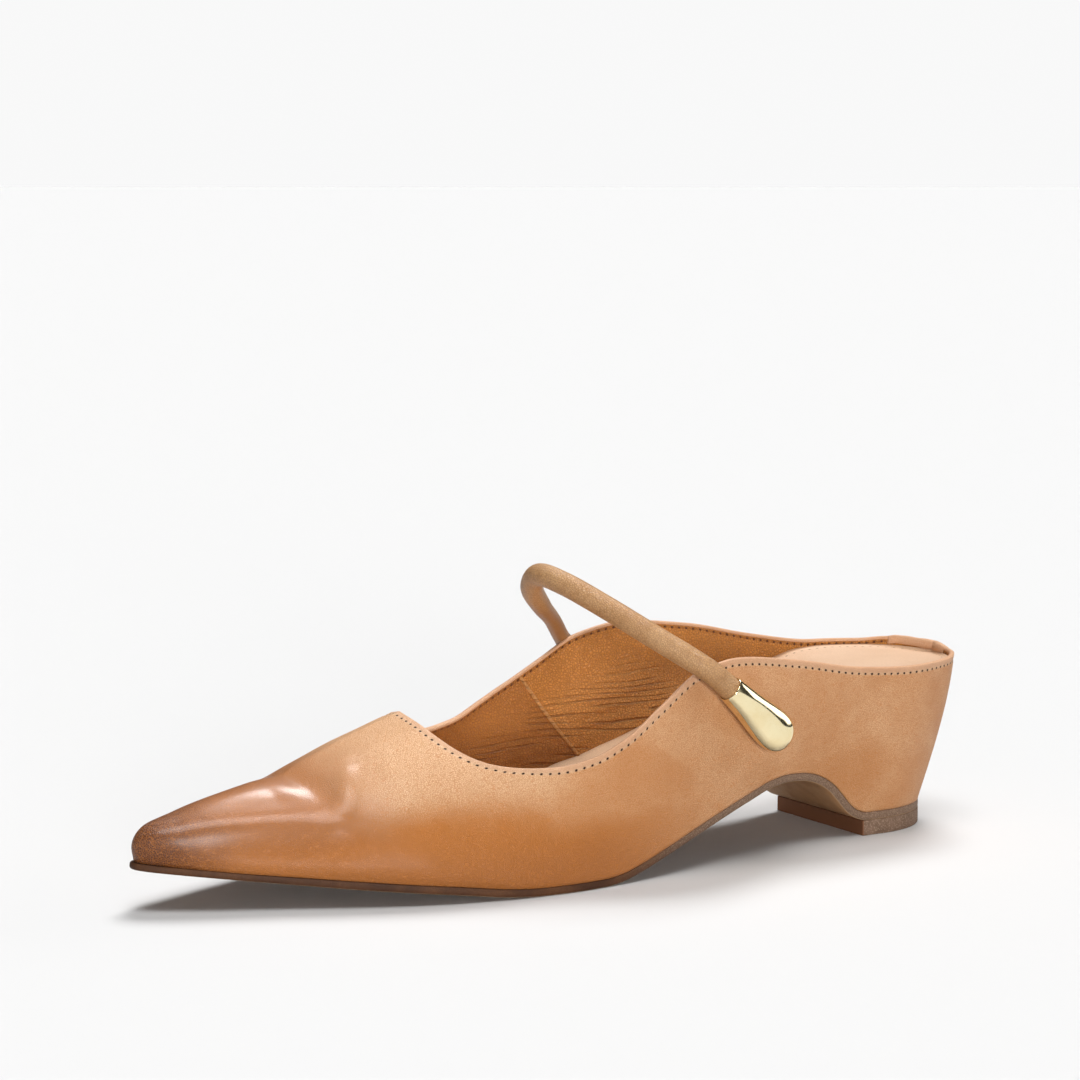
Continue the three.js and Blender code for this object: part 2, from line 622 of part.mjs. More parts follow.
// Strap: from one cap's mouth over the instep to the other's
function strap(lateralCap, medialCap) {
  const leave = (line, side) => {
    const way = line.v1.clone().sub(line.v2).normalize();
    const mouth = line.v1.clone().addScaledVector(way, GAP);
    const next = line.v1.clone().addScaledVector(way, 1.4 * STRAP_WIDTH);
    const clear = skinOut(side, next.x, next.z) + STRAP_WIDTH / 2 + RIM_CREST + 2 * GAP;
    next.y = side.sign * Math.max(Math.abs(next.y), clear);
    return { mouth, next };
  };
  const from = leave(lateralCap, SIDES.lateral);
  const to = leave(medialCap, SIDES.medial);
  const peak = STRAP_PEAK;
  const span = SOLE_LENGTH;
  const path = new THREE.CatmullRomCurve3([
    from.mouth, from.next,
    new THREE.Vector3(0.438 * span, 0.69 * BALL_LATERAL, 0.824 * peak),
    new THREE.Vector3(0.472 * span, 0.42 * BALL_LATERAL, 0.915 * peak),
    new THREE.Vector3(0.497 * span, 0.18 * BALL_LATERAL, 0.98 * peak),
    new THREE.Vector3(0.506 * span, -0.06 * BALL_MEDIAL, peak),
    new THREE.Vector3(0.497 * span, -0.29 * BALL_MEDIAL, 0.946 * peak),
    new THREE.Vector3(0.463 * span, -0.54 * BALL_MEDIAL, 0.857 * peak),
    new THREE.Vector3(0.395 * span, -1.05 * BALL_MEDIAL, 0.71 * peak),
    to.next, to.mouth,
  ], false, "centripetal");
  return roundBar(path, () => STRAP_WIDTH / 2, STRAP_STATIONS);
}

// Back tab: a thin binding folded over the topline behind the heel
function backTab() {
  const fine = 40;
  const half = WALL / 2;
  const skin = half + 1.5 * GAP;
  const over = skin + TAB_THICK;
  const crest = RIM_CREST + GAP;
  const section = [
    [over, TAB_DEPTH], [over, 0.6], [over * 0.62, -crest - TAB_THICK * 0.55], [0, -crest - TAB_THICK],
    [-over * 0.62, -crest - TAB_THICK * 0.55], [-over, 0.6], [-over, TAB_INSIDE],
    [-skin, TAB_INSIDE], [-skin, -0.1], [-skin * 0.5, -crest * 0.9], [0, -crest - 0.1],
    [skin * 0.5, -crest * 0.9], [skin, -0.1], [skin, TAB_DEPTH],
  ];
  const near = 16;
  const inner = PLACES.slice(1, near).reverse().map((x) => [SIDES.medial, x]);
  const rim = [...inner, ...PLACES.slice(0, near).map((x) => [SIDES.lateral, x])];
  const tops = rim.map(([side, x]) => topPoint(side, x));
  const line = new THREE.CatmullRomCurve3(tops);
  const reach = line.getLength();
  const innerReach = tops.slice(0, near).reduce((sum, p, k) => (k ? sum + p.distanceTo(tops[k - 1]) : 0), 0);
  const middle = innerReach - TAB_SHIFT;
  const ring = steps(middle - TAB_WIDTH / 2, middle + TAB_WIDTH / 2, TAB_STATIONS).map((run) => {
    const top = line.getPointAt(run / reach);
    const along = line.getTangentAt(run / reach);
    let best = null;
    for (const [side, x] of rim) {
      const skinRow = skinLine(side, x, fine);
      const far = skinRow[fine].distanceTo(top);
      if (!best || far < best.far) best = { far, skinRow };
    }
    const down = best.skinRow[fine - 6].clone().sub(best.skinRow[fine]).normalize();
    const out = along.clone().cross(down).normalize();
    if (out.x > 0) out.negate();
    const heart = top.clone().addScaledVector(out, -half);
    return section.map(([n, d]) => heart.clone().addScaledVector(out, n).addScaledVector(down, d));
  });
  const count = section.length;
  const points = ring.flat();
  const faces = [];
  for (let j = 0; j < ring.length - 1; j += 1) {
    for (let i = 0; i < count; i += 1) {
      const next = (i + 1) % count;
      const [a, b, c, d] = [j * count + i, j * count + next, (j + 1) * count + next, (j + 1) * count + i];
      faces.push(a, b, c, a, c, d);
    }
  }
  const last = (ring.length - 1) * count;
  for (let k = 0; k < count / 2 - 1; k += 1) {
    const [a, b, c, d] = [k, k + 1, count - 2 - k, count - 1 - k];
    faces.push(a, c, b, a, d, c, last + a, last + b, last + c, last + a, last + c, last + d);
  }
  return facesToGeometry(points, faces);
}

const leather = (color, roughness) => new THREE.MeshStandardMaterial({ color, roughness, metalness: 0 });
const tan = leather(0xc8935f, 0.5);
const edge = leather(0x6b5240, 0.6);
const natural = leather(0xe6c79c, 0.6);
const rubber = leather(0x6f5a48, 0.75);
const core = leather(0x9c8464, 0.8);
const rope = leather(0xb0834f, 0.5);
const gold = new THREE.MeshStandardMaterial({ color: 0xdcc88a, roughness: 0.18, metalness: 1 });

const room = innerRoom();
const lateralCap = capLine(SIDES.lateral);
const medialCap = capLine(SIDES.medial);

const pieces = [
  ["outsole", outsole(), edge],
  ["top_piece", topPiece(), rubber],
  ["wedge_heel", wedge(room), core],
  ["insole", insole(room), natural],
  ["upper", upper(), tan],
  ["back_tab", backTab(), tan],
  ["strap", strap(lateralCap, medialCap), rope],
  ["cap_lateral", cap(lateralCap), gold],
  ["cap_medial", cap(medialCap), gold],
];

const shoe = new THREE.Group();
shoe.name = "mule_shoe";
for (const [name, geometry, material] of pieces) {
  const mesh = new THREE.Mesh(geometry, material);
  mesh.name = name;
  shoe.add(mesh);
}

// Origin at the middle of the bounding box on the floor
const box = new THREE.Box3().setFromObject(shoe);
const centre = box.getCenter(new THREE.Vector3());
for (const mesh of shoe.children) mesh.geometry.translate(-centre.x, -centre.y, -box.min.z);

export default shoe;
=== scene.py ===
import math

import bmesh
import bpy
import numpy as np
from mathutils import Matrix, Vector


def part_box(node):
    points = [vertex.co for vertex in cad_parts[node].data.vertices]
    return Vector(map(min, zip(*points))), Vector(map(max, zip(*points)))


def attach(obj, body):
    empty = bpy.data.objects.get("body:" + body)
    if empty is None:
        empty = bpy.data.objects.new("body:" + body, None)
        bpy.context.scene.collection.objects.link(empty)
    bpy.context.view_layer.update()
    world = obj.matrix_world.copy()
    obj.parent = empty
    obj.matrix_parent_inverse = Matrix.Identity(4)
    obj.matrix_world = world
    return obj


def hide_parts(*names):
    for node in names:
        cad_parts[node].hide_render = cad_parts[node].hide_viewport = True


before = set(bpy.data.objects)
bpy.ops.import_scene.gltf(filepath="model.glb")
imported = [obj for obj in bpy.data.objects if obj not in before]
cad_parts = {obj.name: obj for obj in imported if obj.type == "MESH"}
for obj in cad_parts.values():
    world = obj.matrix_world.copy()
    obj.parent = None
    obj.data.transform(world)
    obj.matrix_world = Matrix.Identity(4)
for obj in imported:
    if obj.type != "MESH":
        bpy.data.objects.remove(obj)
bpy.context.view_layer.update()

# Sizes of the shoe in mm, the same ones that the solids are made from
form = {
    "length": 246.4, "toeSwing": 3.8, "heelCurve": 24.0, "heelBreast": 31.0,
    "soleThick": 2.3, "topPiece": 4.15, "gap": 0.3, "archRise": 21.6, "toeSpring": 12.6,
    "seat": 47.0, "collar": 49.4, "instep": 59.1, "vampRise": 40.4,
    "wall": 2.0, "insoleThick": 2.2, "bulge": 1.0, "ballRoll": 0.9, "toeRoll": 0.4, "rollHeight": 4.5,
}

outerSide = {  # wearer's left: outer edge of this left shoe
    "sign": 1.0, "ball": 39.7,
    "edge": [(0, 0.533), (0.125, 0.533), (0.188, 0.585), (0.258, 0.667), (0.309, 0.733), (0.377, 0.823),
             (0.442, 0.905), (0.516, 0.973), (0.559, 1), (0.606, 0.993), (0.705, 0.893), (0.793, 0.697),
             (0.839, 0.566), (0.906, 0.381), (0.964, 0.209), (0.989, 0.109), (1, 0)],
    "top": [(0, -0.047, 0, 1, 0), (0.012, -0.029, 0.34, 0.99, 0), (0.047, 0.012, 0.556, 0.982, 0),
            (0.094, 0.07, 0.675, 0.982, 0), (0.156, 0.149, 0.703, 0.9, 0.09),
            (0.242, 0.242, 0.725, 0.4, 0.576), (0.328, 0.329, 0.772, 0, 0.953),
            (0.383, 0.383, 0.816, 0, 0.912), (0.434, 0.434, 0.85, 0, 0.782),
            (0.485, 0.482, 0.871, 0, 0.65), (0.535, 0.524, 0.867, 0, 0.577),
            (0.594, 0.567, 0.839, 0, 0.549), (0.664, 0.606, 0.796, 0, 0.557),
            (0.742, 0.639, 0.731, 0, 0.581), (0.82, 0.662, 0.631, 0, 0.624),
            (0.898, 0.676, 0.481, 0, 0.676), (0.961, 0.684, 0.289, 0, 0.728), (1, 0.686, 0, 0, 0.766)],
}
innerSide = {
    "sign": -1.0, "ball": 35.0,
    "edge": [(0, 0.604), (0.125, 0.6), (0.188, 0.605), (0.258, 0.606), (0.309, 0.631), (0.377, 0.715),
             (0.442, 0.818), (0.516, 0.931), (0.578, 0.989), (0.625, 1), (0.672, 0.97), (0.743, 0.844),
             (0.821, 0.645), (0.879, 0.482), (0.938, 0.306), (0.977, 0.174), (1, 0)],
    "top": [(0, -0.047, 0, 1, 0), (0.012, -0.029, 0.358, 1.01, 0), (0.047, 0.008, 0.606, 0.993, 0),
            (0.094, 0.063, 0.738, 0.996, 0), (0.156, 0.149, 0.787, 0.8, 0.215),
            (0.242, 0.242, 0.81, 0.3, 0.715), (0.328, 0.328, 0.851, 0, 1), (0.383, 0.383, 0.893, 0, 0.956),
            (0.434, 0.434, 0.931, 0, 0.839), (0.485, 0.483, 0.934, 0, 0.73),
            (0.535, 0.516, 0.904, 0, 0.668), (0.594, 0.555, 0.851, 0, 0.603),
            (0.664, 0.596, 0.777, 0, 0.581), (0.742, 0.629, 0.689, 0, 0.6), (0.82, 0.657, 0.554, 0, 0.643),
            (0.898, 0.671, 0.377, 0, 0.694), (0.961, 0.682, 0.185, 0, 0.742), (1, 0.686, 0, 0, 0.766)],
}
soleProfile = [  # share along, then shares of the heel's stack, the arch and the toe spring
    (0, 1, 0, 0), (0.12, 1, 0, 0), (0.131, 0.92, 0.055, 0), (0.142, 0.6, 0.22, 0), (0.156, 0.3, 0.47, 0),
    (0.17, 0.1, 0.69, 0), (0.188, 0, 0.857, 0), (0.205, 0, 0.94, 0), (0.222, 0, 0.982, 0), (0.245, 0, 1, 0),
    (0.27, 0, 0.965, 0), (0.309, 0, 0.823, 0), (0.377, 0, 0.54, 0), (0.442, 0, 0.25, 0), (0.474, 0, 0.11, 0),
    (0.5, 0, 0.025, 0), (0.52, 0, 0, 0), (0.59, 0, 0, 0), (0.62, 0, 0, 0.03), (0.705, 0, 0, 0.255),
    (0.793, 0, 0, 0.47), (0.906, 0, 0, 0.75), (1, 0, 0, 1)]
seatProfile = [(-0.1, 1), (0.05, 1), (0.09, 0.988), (0.122, 0.95), (0.183, 0.865), (0.244, 0.758),
               (0.292, 0.658), (0.325, 0.577), (0.365, 0.48), (0.406, 0.384), (0.446, 0.294),
               (0.487, 0.213), (0.528, 0.155), (0.57, 0.119), (0.62, 0.103)]
ridge = [(0.5, 1.5), (0.586, 1.29), (0.645, 1.115), (0.686, 1), (0.723, 0.895), (0.758, 0.8), (0.793, 0.69),
         (0.829, 0.583), (0.877, 0.473), (0.921, 0.38), (0.961, 0.288), (0.984, 0.225), (0.997, 0.12), (1, 0)]

# Heel end of the sole on the foot line, where all the shoe's own sizes start
shoeStart = np.array([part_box("outsole")[0].x * 1000,
                      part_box("top_piece")[1].y * 1000 - outerSide["edge"][0][1] * outerSide["ball"], 0.0])


def readCurve(rows, column, at, fromTip=False):
    table = np.asarray(rows, float)
    x, y = table[:, 0], table[:, column]
    q = np.asarray(at, float)
    if fromTip:
        x, y = np.sqrt(np.maximum(0, 1 - x))[::-1], y[::-1]
        q = np.sqrt(np.maximum(0, 1 - q))
    span = np.diff(x)
    slope = np.diff(y) / span
    tangent = np.concatenate([slope[:1], np.zeros(len(x) - 2), slope[-1:]])
    for k in range(1, len(x) - 1):
        before, after = slope[k - 1], slope[k]
        if before * after > 0:
            a, b = span[k], span[k - 1]
            tangent[k] = 3 * (a + b) / ((2 * a + b) / before + (a + 2 * b) / after)
    i = np.clip(np.searchsorted(x, q) - 1, 0, len(x) - 2)
    t = np.clip((q - x[i]) / span[i], 0, 1)
    return ((2 * t**3 - 3 * t**2 + 1) * y[i] + (t**3 - 2 * t**2 + t) * span[i] * tangent[i]
            + (3 * t**2 - 2 * t**3) * y[i + 1] + (t**3 - t**2) * span[i] * tangent[i + 1])


def ease(value, low, high):
    t = np.clip((np.asarray(value, float) - low) / (high - low), 0, 1)
    return t * t * (3 - 2 * t)


def unit(vectors):
    return vectors / np.linalg.norm(vectors, axis=-1, keepdims=True)


def runsOf(lines):
    steps = np.linalg.norm(np.diff(lines, axis=1), axis=2)
    return np.concatenate([np.zeros((len(lines), 1)), np.cumsum(steps, axis=1)], axis=1)


def footLine(x):
    return -form["toeSwing"] * (np.maximum(0, x) / form["length"]) ** 2


def halfWidth(side, x):
    back = np.where(x < form["heelCurve"], np.sqrt(np.maximum(0, 1 - (1 - x / form["heelCurve"]) ** 2)), 1)
    return side["ball"] * back * readCurve(side["edge"], 1, np.minimum(1, x / form["length"]), True)


def soleTop(x):
    at = np.clip(np.asarray(x, float) / form["length"], 0, 1)
    thick = form["soleThick"]
    return (thick + (form["topPiece"] + form["gap"]) * readCurve(soleProfile, 1, at)
            + (form["archRise"] - thick) * readCurve(soleProfile, 2, at)
            + (form["toeSpring"] - thick) * readCurve(soleProfile, 3, at))


def feather(x):
    return soleTop(x) + form["gap"]


def rollAt(at):
    return form["ballRoll"] + (form["toeRoll"] - form["ballRoll"]) * ease(at, 0.7, 0.95)


def vampHeight(side, x, y):
    at = np.minimum(1, x / form["length"])
    reach = np.maximum(halfWidth(side, x) + rollAt(at), 1e-6)
    across = np.minimum(1, np.abs(y - footLine(x)) / reach)
    return feather(x) + form["vampRise"] * readCurve(ridge, 1, at, True) * np.sqrt(1 - across**2)


def insoleTop(x):
    onSole = soleTop(x) + form["gap"] + form["insoleThick"]
    slope = form["seat"] * readCurve(seatProfile, 1, x / form["length"])
    k = ease(x / form["length"], 0.53, 0.61)
    return slope + (onSole - slope) * k


def edgeNormal(side, x):
    step = np.maximum(np.minimum(np.minimum(0.5, x / 2), (form["length"] - x) / 2), 1e-4)
    rise = (halfWidth(side, x + step) - halfWidth(side, x - step)) / (2 * step)
    rise = rise * side["sign"] + (footLine(x + step) - footLine(x - step)) / (2 * step)
    out = np.stack([-rise * side["sign"], np.full_like(x, side["sign"]), np.zeros_like(x)], -1)
    out[x <= 0] = (-1, 0, 0)
    out[x >= form["length"]] = (1, 0, 0)
    return unit(out)


def stationPlaces(count):
    xs = form["length"] * (1 - np.cos(np.pi * np.arange(1201) / 1200)) / 2
    run = np.sqrt(np.diff(xs) ** 2 + np.diff(halfWidth(outerSide, xs)) ** 2 + np.diff(soleTop(xs)) ** 2)
    ends = 3.2 * np.exp(-(form["length"] - xs[1:]) / 9) + 0.8 * np.exp(-xs[1:] / 20)
    breast = 1.3 * np.exp(-(((xs[1:] - form["heelBreast"] * 1.2) / 9) ** 2))
    weight = np.concatenate([[0], np.cumsum(run * (1 + ends + breast))])
    return np.interp(np.linspace(0, weight[-1], count + 1), weight, xs)


def evenly(lines, fractions):
    far = runsOf(lines)
    out = np.empty((len(lines), len(fractions), 3))
    for i, line in enumerate(lines):
        for axis in range(3):
            out[i, :, axis] = np.interp(np.asarray(fractions) * far[i, -1], far[i], line[:, axis])
    return out


def skinLines(side, xs, fractions):
    at = xs / form["length"]
    foot = np.stack([xs, footLine(xs) + side["sign"] * halfWidth(side, xs), feather(xs)], -1)
    place = readCurve(side["top"], 1, at) * form["length"]
    spread = side["sign"] * side["ball"] * readCurve(side["top"], 2, at)
    rise = form["collar"] * readCurve(side["top"], 3, at) + form["instep"] * readCurve(side["top"], 4, at)
    top = np.stack([place, footLine(place) + spread, rise], -1)
    out = edgeNormal(side, xs)
    flare = np.hypot(top[:, 0] - foot[:, 0], top[:, 1] - foot[:, 1])[:, None]
    low = foot + (top - foot) / 3 + out * form["bulge"]
    high = foot + (top - foot) * 2 / 3 + out * (form["bulge"] + flare * 0.1)
    t = np.linspace(0, 1, 49)[None, :, None]
    wall = ((1 - t) ** 3 * foot[:, None] + 3 * (1 - t) ** 2 * t * low[:, None]
            + 3 * (1 - t) * t**2 * high[:, None] + t**3 * top[:, None])
    roll = rollAt(at)
    start = foot + out * roll[:, None]
    lift = top[:, 2] - vampHeight(side, top[:, 0], top[:, 1])
    part = t[..., 0] ** 2
    dome = start[:, None, :] + (top - start)[:, None, :] * part[..., None]
    dome[..., 2] = vampHeight(side, dome[..., 0], dome[..., 1]) + lift[:, None] * part
    tuck = np.maximum(0, 1 - (dome[..., 2] - foot[:, None, 2]) / form["rollHeight"])
    dome -= out[:, None, :] * (roll[:, None] * (1 - np.sqrt(np.maximum(0, 1 - tuck**2))))[..., None]
    share = ease(at, 0.5, 0.66)[:, None, None]
    return evenly(wall + (dome - wall) * share, fractions)


# Lines of the skin all the way round: outer side to the toe, inner side back to the heel
def wholeSkin(count, fractions):
    xs = stationPlaces(count)
    back = skinLines(innerSide, xs[1:-1][::-1], fractions)
    return np.concatenate([skinLines(outerSide, xs, fractions), back])


def outward(points):
    along = np.roll(points, -1, 0) - np.roll(points, 1, 0)
    up = np.gradient(points, axis=1)
    normal = -np.cross(along, up)
    return normal / np.maximum(np.linalg.norm(normal, axis=-1, keepdims=True), 1e-9)


def sunk(points, normals, depth):
    depth = np.broadcast_to(np.asarray(depth, float), points.shape[:2])[..., None]
    moved = points - normals * depth
    level = unit(normals[:, 0] * (1, 1, 0))
    moved[:, 0] = points[:, 0] - level * depth[:, 0]
    moved[:, 0, 2] = feather(np.clip(moved[:, 0, 0], 0, form["length"]))
    return moved


def topRun(points):
    top = points[:, -1]
    return runsOf(np.concatenate([top, top[:1]])[None])[0]


# A grid laid on points in the shoe's sizes, welded across and, where it closes, all the way round
def surfacePiece(name, points, uv, closedAround=False):
    if closedAround:
        points = np.concatenate([points, points[:1]])
    points = np.concatenate([points, points[:, :1]], axis=1)
    around, across = points.shape[:2]
    world = (points + shoeStart) / 1000
    bm = bmesh.new()
    bmesh.ops.create_grid(bm, x_segments=around - 1, y_segments=across - 1, size=1)
    layer = bm.loops.layers.uv.new("UVMap")
    spot = {}
    for v in bm.verts:
        i, j = round((v.co.x + 1) / 2 * (around - 1)), round((v.co.y + 1) / 2 * (across - 1))
        spot[v] = (i, j)
    for face in bm.faces:
        face.smooth = True
        for loop in face.loops:
            loop[layer].uv = uv[spot[loop.vert]]
    for v, (i, j) in spot.items():
        v.co = world[i, j]
    bmesh.ops.remove_doubles(bm, verts=bm.verts, dist=2e-6)
    bmesh.ops.dissolve_degenerate(bm, edges=bm.edges, dist=1e-7)
    bmesh.ops.recalc_face_normals(bm, faces=bm.faces)
    return finishPiece(name, bm)


def finishPiece(name, bm):
    mesh = bpy.data.meshes.new(name)
    bm.to_mesh(mesh)
    bm.free()
    piece = bpy.data.objects.new(name, mesh)
    bpy.context.scene.collection.objects.link(piece)
    return piece


def dress(piece, material, slot, *nodes):
    piece.data.materials.clear()
    piece.data.materials.append(material)
    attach(piece, "root")
    if nodes:
        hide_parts(*nodes)
    return piece


# Colours are given as they look on the photograph
def tint(red, green, blue):
    def flat(v):
        v /= 255
        return v / 12.92 if v <= 0.04045 else ((v + 0.055) / 1.055) ** 2.4
    return (flat(red), flat(green), flat(blue), 1)


def feed(node, inputs):
    for key, value in inputs.items():
        if isinstance(value, bpy.types.NodeSocket):
            node.id_data.links.new(value, node.inputs[key])
        else:
            node.inputs[key].default_value = value
    return node


def addNode(tree, kind, inputs=None, **settings):
    node = tree.nodes.new(kind)
    for key, value in settings.items():
        setattr(node, key, value)
    return feed(node, inputs or {})


def treeOf(values):
    return next(v.id_data for v in values if isinstance(v, bpy.types.NodeSocket))


def calc(operation, *values, clamp=False):
    tree, inputs = treeOf(values), dict(enumerate(values))
    return addNode(tree, "ShaderNodeMath", inputs, operation=operation, use_clamp=clamp).outputs[0]


def times(a, b):
    return calc("MULTIPLY", a, b)


def scaled(value, by, plus):
    return calc("MULTIPLY_ADD", value, by, plus)


def blend(factor, a, b):
    return addNode(factor.id_data, "ShaderNodeMix", {0: factor, 6: a, 7: b}, data_type="RGBA").outputs[2]


def rangeOf(value, low, high, toLow=0.0, toHigh=1.0):
    inputs = dict(enumerate((value, low, high, toLow, toHigh)))
    return addNode(value.id_data, "ShaderNodeMapRange", inputs, interpolation_type="SMOOTHSTEP").outputs[0]


def fadeOut(value, low, high, strength=1.0):
    return rangeOf(value, low, high, strength, 0.0)


def axesOf(spot):
    return addNode(spot.id_data, "ShaderNodeSeparateXYZ", {0: spot}).outputs


def turned(spot, scale, turn=(0, 0, 0)):
    return addNode(spot.id_data, "ShaderNodeMapping", {0: spot, 2: turn, 3: scale}).outputs[0]


def noise(spot, scale, detail=2.0, roughness=0.5, distortion=0.0):
    inputs = {"Vector": spot, "Scale": scale, "Detail": detail, "Roughness": roughness,
              "Distortion": distortion}
    return addNode(spot.id_data, "ShaderNodeTexNoise", inputs).outputs


def newGroup(name, inputs, outputs):
    tree = bpy.data.node_groups.new(name, "ShaderNodeTree")
    for label, value in inputs.items():
        kind = "NodeSocketVector" if value is None else "NodeSocketFloat"
        socket = tree.interface.new_socket(label, in_out="INPUT", socket_type=kind)
        if value is not None:
            socket.default_value = value
    for label in outputs:
        tree.interface.new_socket(label, in_out="OUTPUT", socket_type="NodeSocketFloat")
    return tree, tree.nodes.new("NodeGroupInput").outputs, tree.nodes.new("NodeGroupOutput")


def place(group, **inputs):
    return feed(addNode(treeOf(inputs.values()), "ShaderNodeGroup", node_tree=group), inputs).outputs


# Fine pebble of grain leather
def makeGrain():
    tree, inp, out = newGroup("leatherGrain", {"Place": None, "Size": 900.0}, ["Height", "Tone"])
    warp = noise(inp["Place"], 160.0)["Color"]
    shift = addNode(tree, "ShaderNodeVectorMath", {0: warp, "Scale": 0.0012}, operation="SCALE").outputs[0]
    moved = addNode(tree, "ShaderNodeVectorMath", {0: inp["Place"], 1: shift}, operation="ADD").outputs[0]
    cells = addNode(tree, "ShaderNodeTexVoronoi", {"Vector": moved, "Scale": inp["Size"]},
                    feature="DISTANCE_TO_EDGE")
    pebble = rangeOf(cells.outputs[0], 0.0, 0.22)
    fine = noise(inp["Place"], times(inp["Size"], 1.7), 3.0, 0.6)[0]
    feed(out, {"Height": scaled(fine, 0.5, times(pebble, 0.6)),
               "Tone": scaled(pebble, 0.55, times(fine, 0.45))})
    return tree


# Slow cloudy change of colour, as waxed leather has
def makeMottle():
    tree, inp, out = newGroup("waxMottle", {"Place": None, "Size": 30.0}, ["Tone"])
    feed(out, {"Tone": rangeOf(noise(inp["Place"], inp["Size"], 4.0, 0.55, 0.4)[0], 0.3, 0.7)})
    return tree


# Row of needle holes with a sunk thread; the map counts centimetres along and down from the edge
def makeStitches():
    sizes = {"Map": None, "Pitch": 0.24, "Depth": 0.15, "Long": 0.042, "Wide": 0.036}
    tree, inp, out = newGroup("stitchRow", sizes, ["Hole", "Line"])
    run, fall, _ = axesOf(inp["Map"])
    turn = calc("FRACT", calc("DIVIDE", run, inp["Pitch"]))
    along = calc("DIVIDE", times(calc("SUBTRACT", turn, 0.5), inp["Pitch"]), inp["Long"])
    down = calc("SUBTRACT", fall, inp["Depth"])
    off = calc("DIVIDE", down, inp["Wide"])
    far = calc("SQRT", calc("ADD", times(along, along), times(off, off)))
    feed(out, {"Hole": fadeOut(far, 0.55, 1.15), "Line": fadeOut(calc("ABSOLUTE", down), 0.01, 0.06)})
    return tree


grainGroup, mottleGroup, stitchGroup = makeGrain(), makeMottle(), makeStitches()


def grainOf(spot, size):
    return place(grainGroup, Place=spot, Size=size)


def cloudOf(spot, size):
    return place(mottleGroup, Place=spot, Size=size)["Tone"]


def startMaterial(name, roughness, constants=None):
    material = bpy.data.materials.new(name)
    material.use_nodes = True
    shader = material.node_tree.nodes["Principled BSDF"]
    feed(shader, {"Roughness": roughness, **(constants or {})})
    where = addNode(material.node_tree, "ShaderNodeTexCoord").outputs
    return material, shader, where["Object"], where["UV"]


def finishLook(shader, colour, height, strength, distance):
    inputs = {"Height": height, "Strength": strength, "Distance": distance}
    relief = addNode(shader.id_data, "ShaderNodeBump", inputs).outputs[0]
    feed(shader, {"Base Color": colour, "Normal": relief})


skinLook = {
    "tan": tint(214, 160, 113), "pale": tint(228, 180, 136), "warm": tint(186, 112, 40),
    "paintedLightCream": tint(238, 198, 156), "amber": tint(150, 86, 32), "burnish": tint(80, 34, 6),
    "hole": tint(58, 32, 18), "rim": tint(222, 176, 142), "thread": tint(226, 188, 150),
    "grain": 2100.0, "cloud": 24.0, "smallCloud": 120.0, "roughness": 0.5, "coat": 0.27,
    "relief": (0.75, 0.00026),  # strength and depth in metres
    # spans in metres of the part, along or up, each with the strengths at its two ends
    "lowDown": (0.024, 0.04, 1.0, 0.0), "pastArch": (-0.045, 0.02), "toe": (0.066, 0.108, 0.0, 0.85),
    "toeUp": (0.009, 0.018, 0.0, 0.8), "weltLong": (-0.03, 0.02), "weltUp": (0.004, 0.022, 0.62, 0.0),
    "instepFrom": (0.01, 0.03), "instepTo": (0.064, 0.09, 0.6, 0.0), "instepUp": (0.02, 0.03),
    "pulledTo": (0.045, 0.07, 1.5, 0.0), "tip": (0.104, 0.129), "tipUp": (0.014, 0.026, 1.0, 0.0),
    "shine": (0.058, 0.092), "shineUp": (0.0155, 0.0215),
}


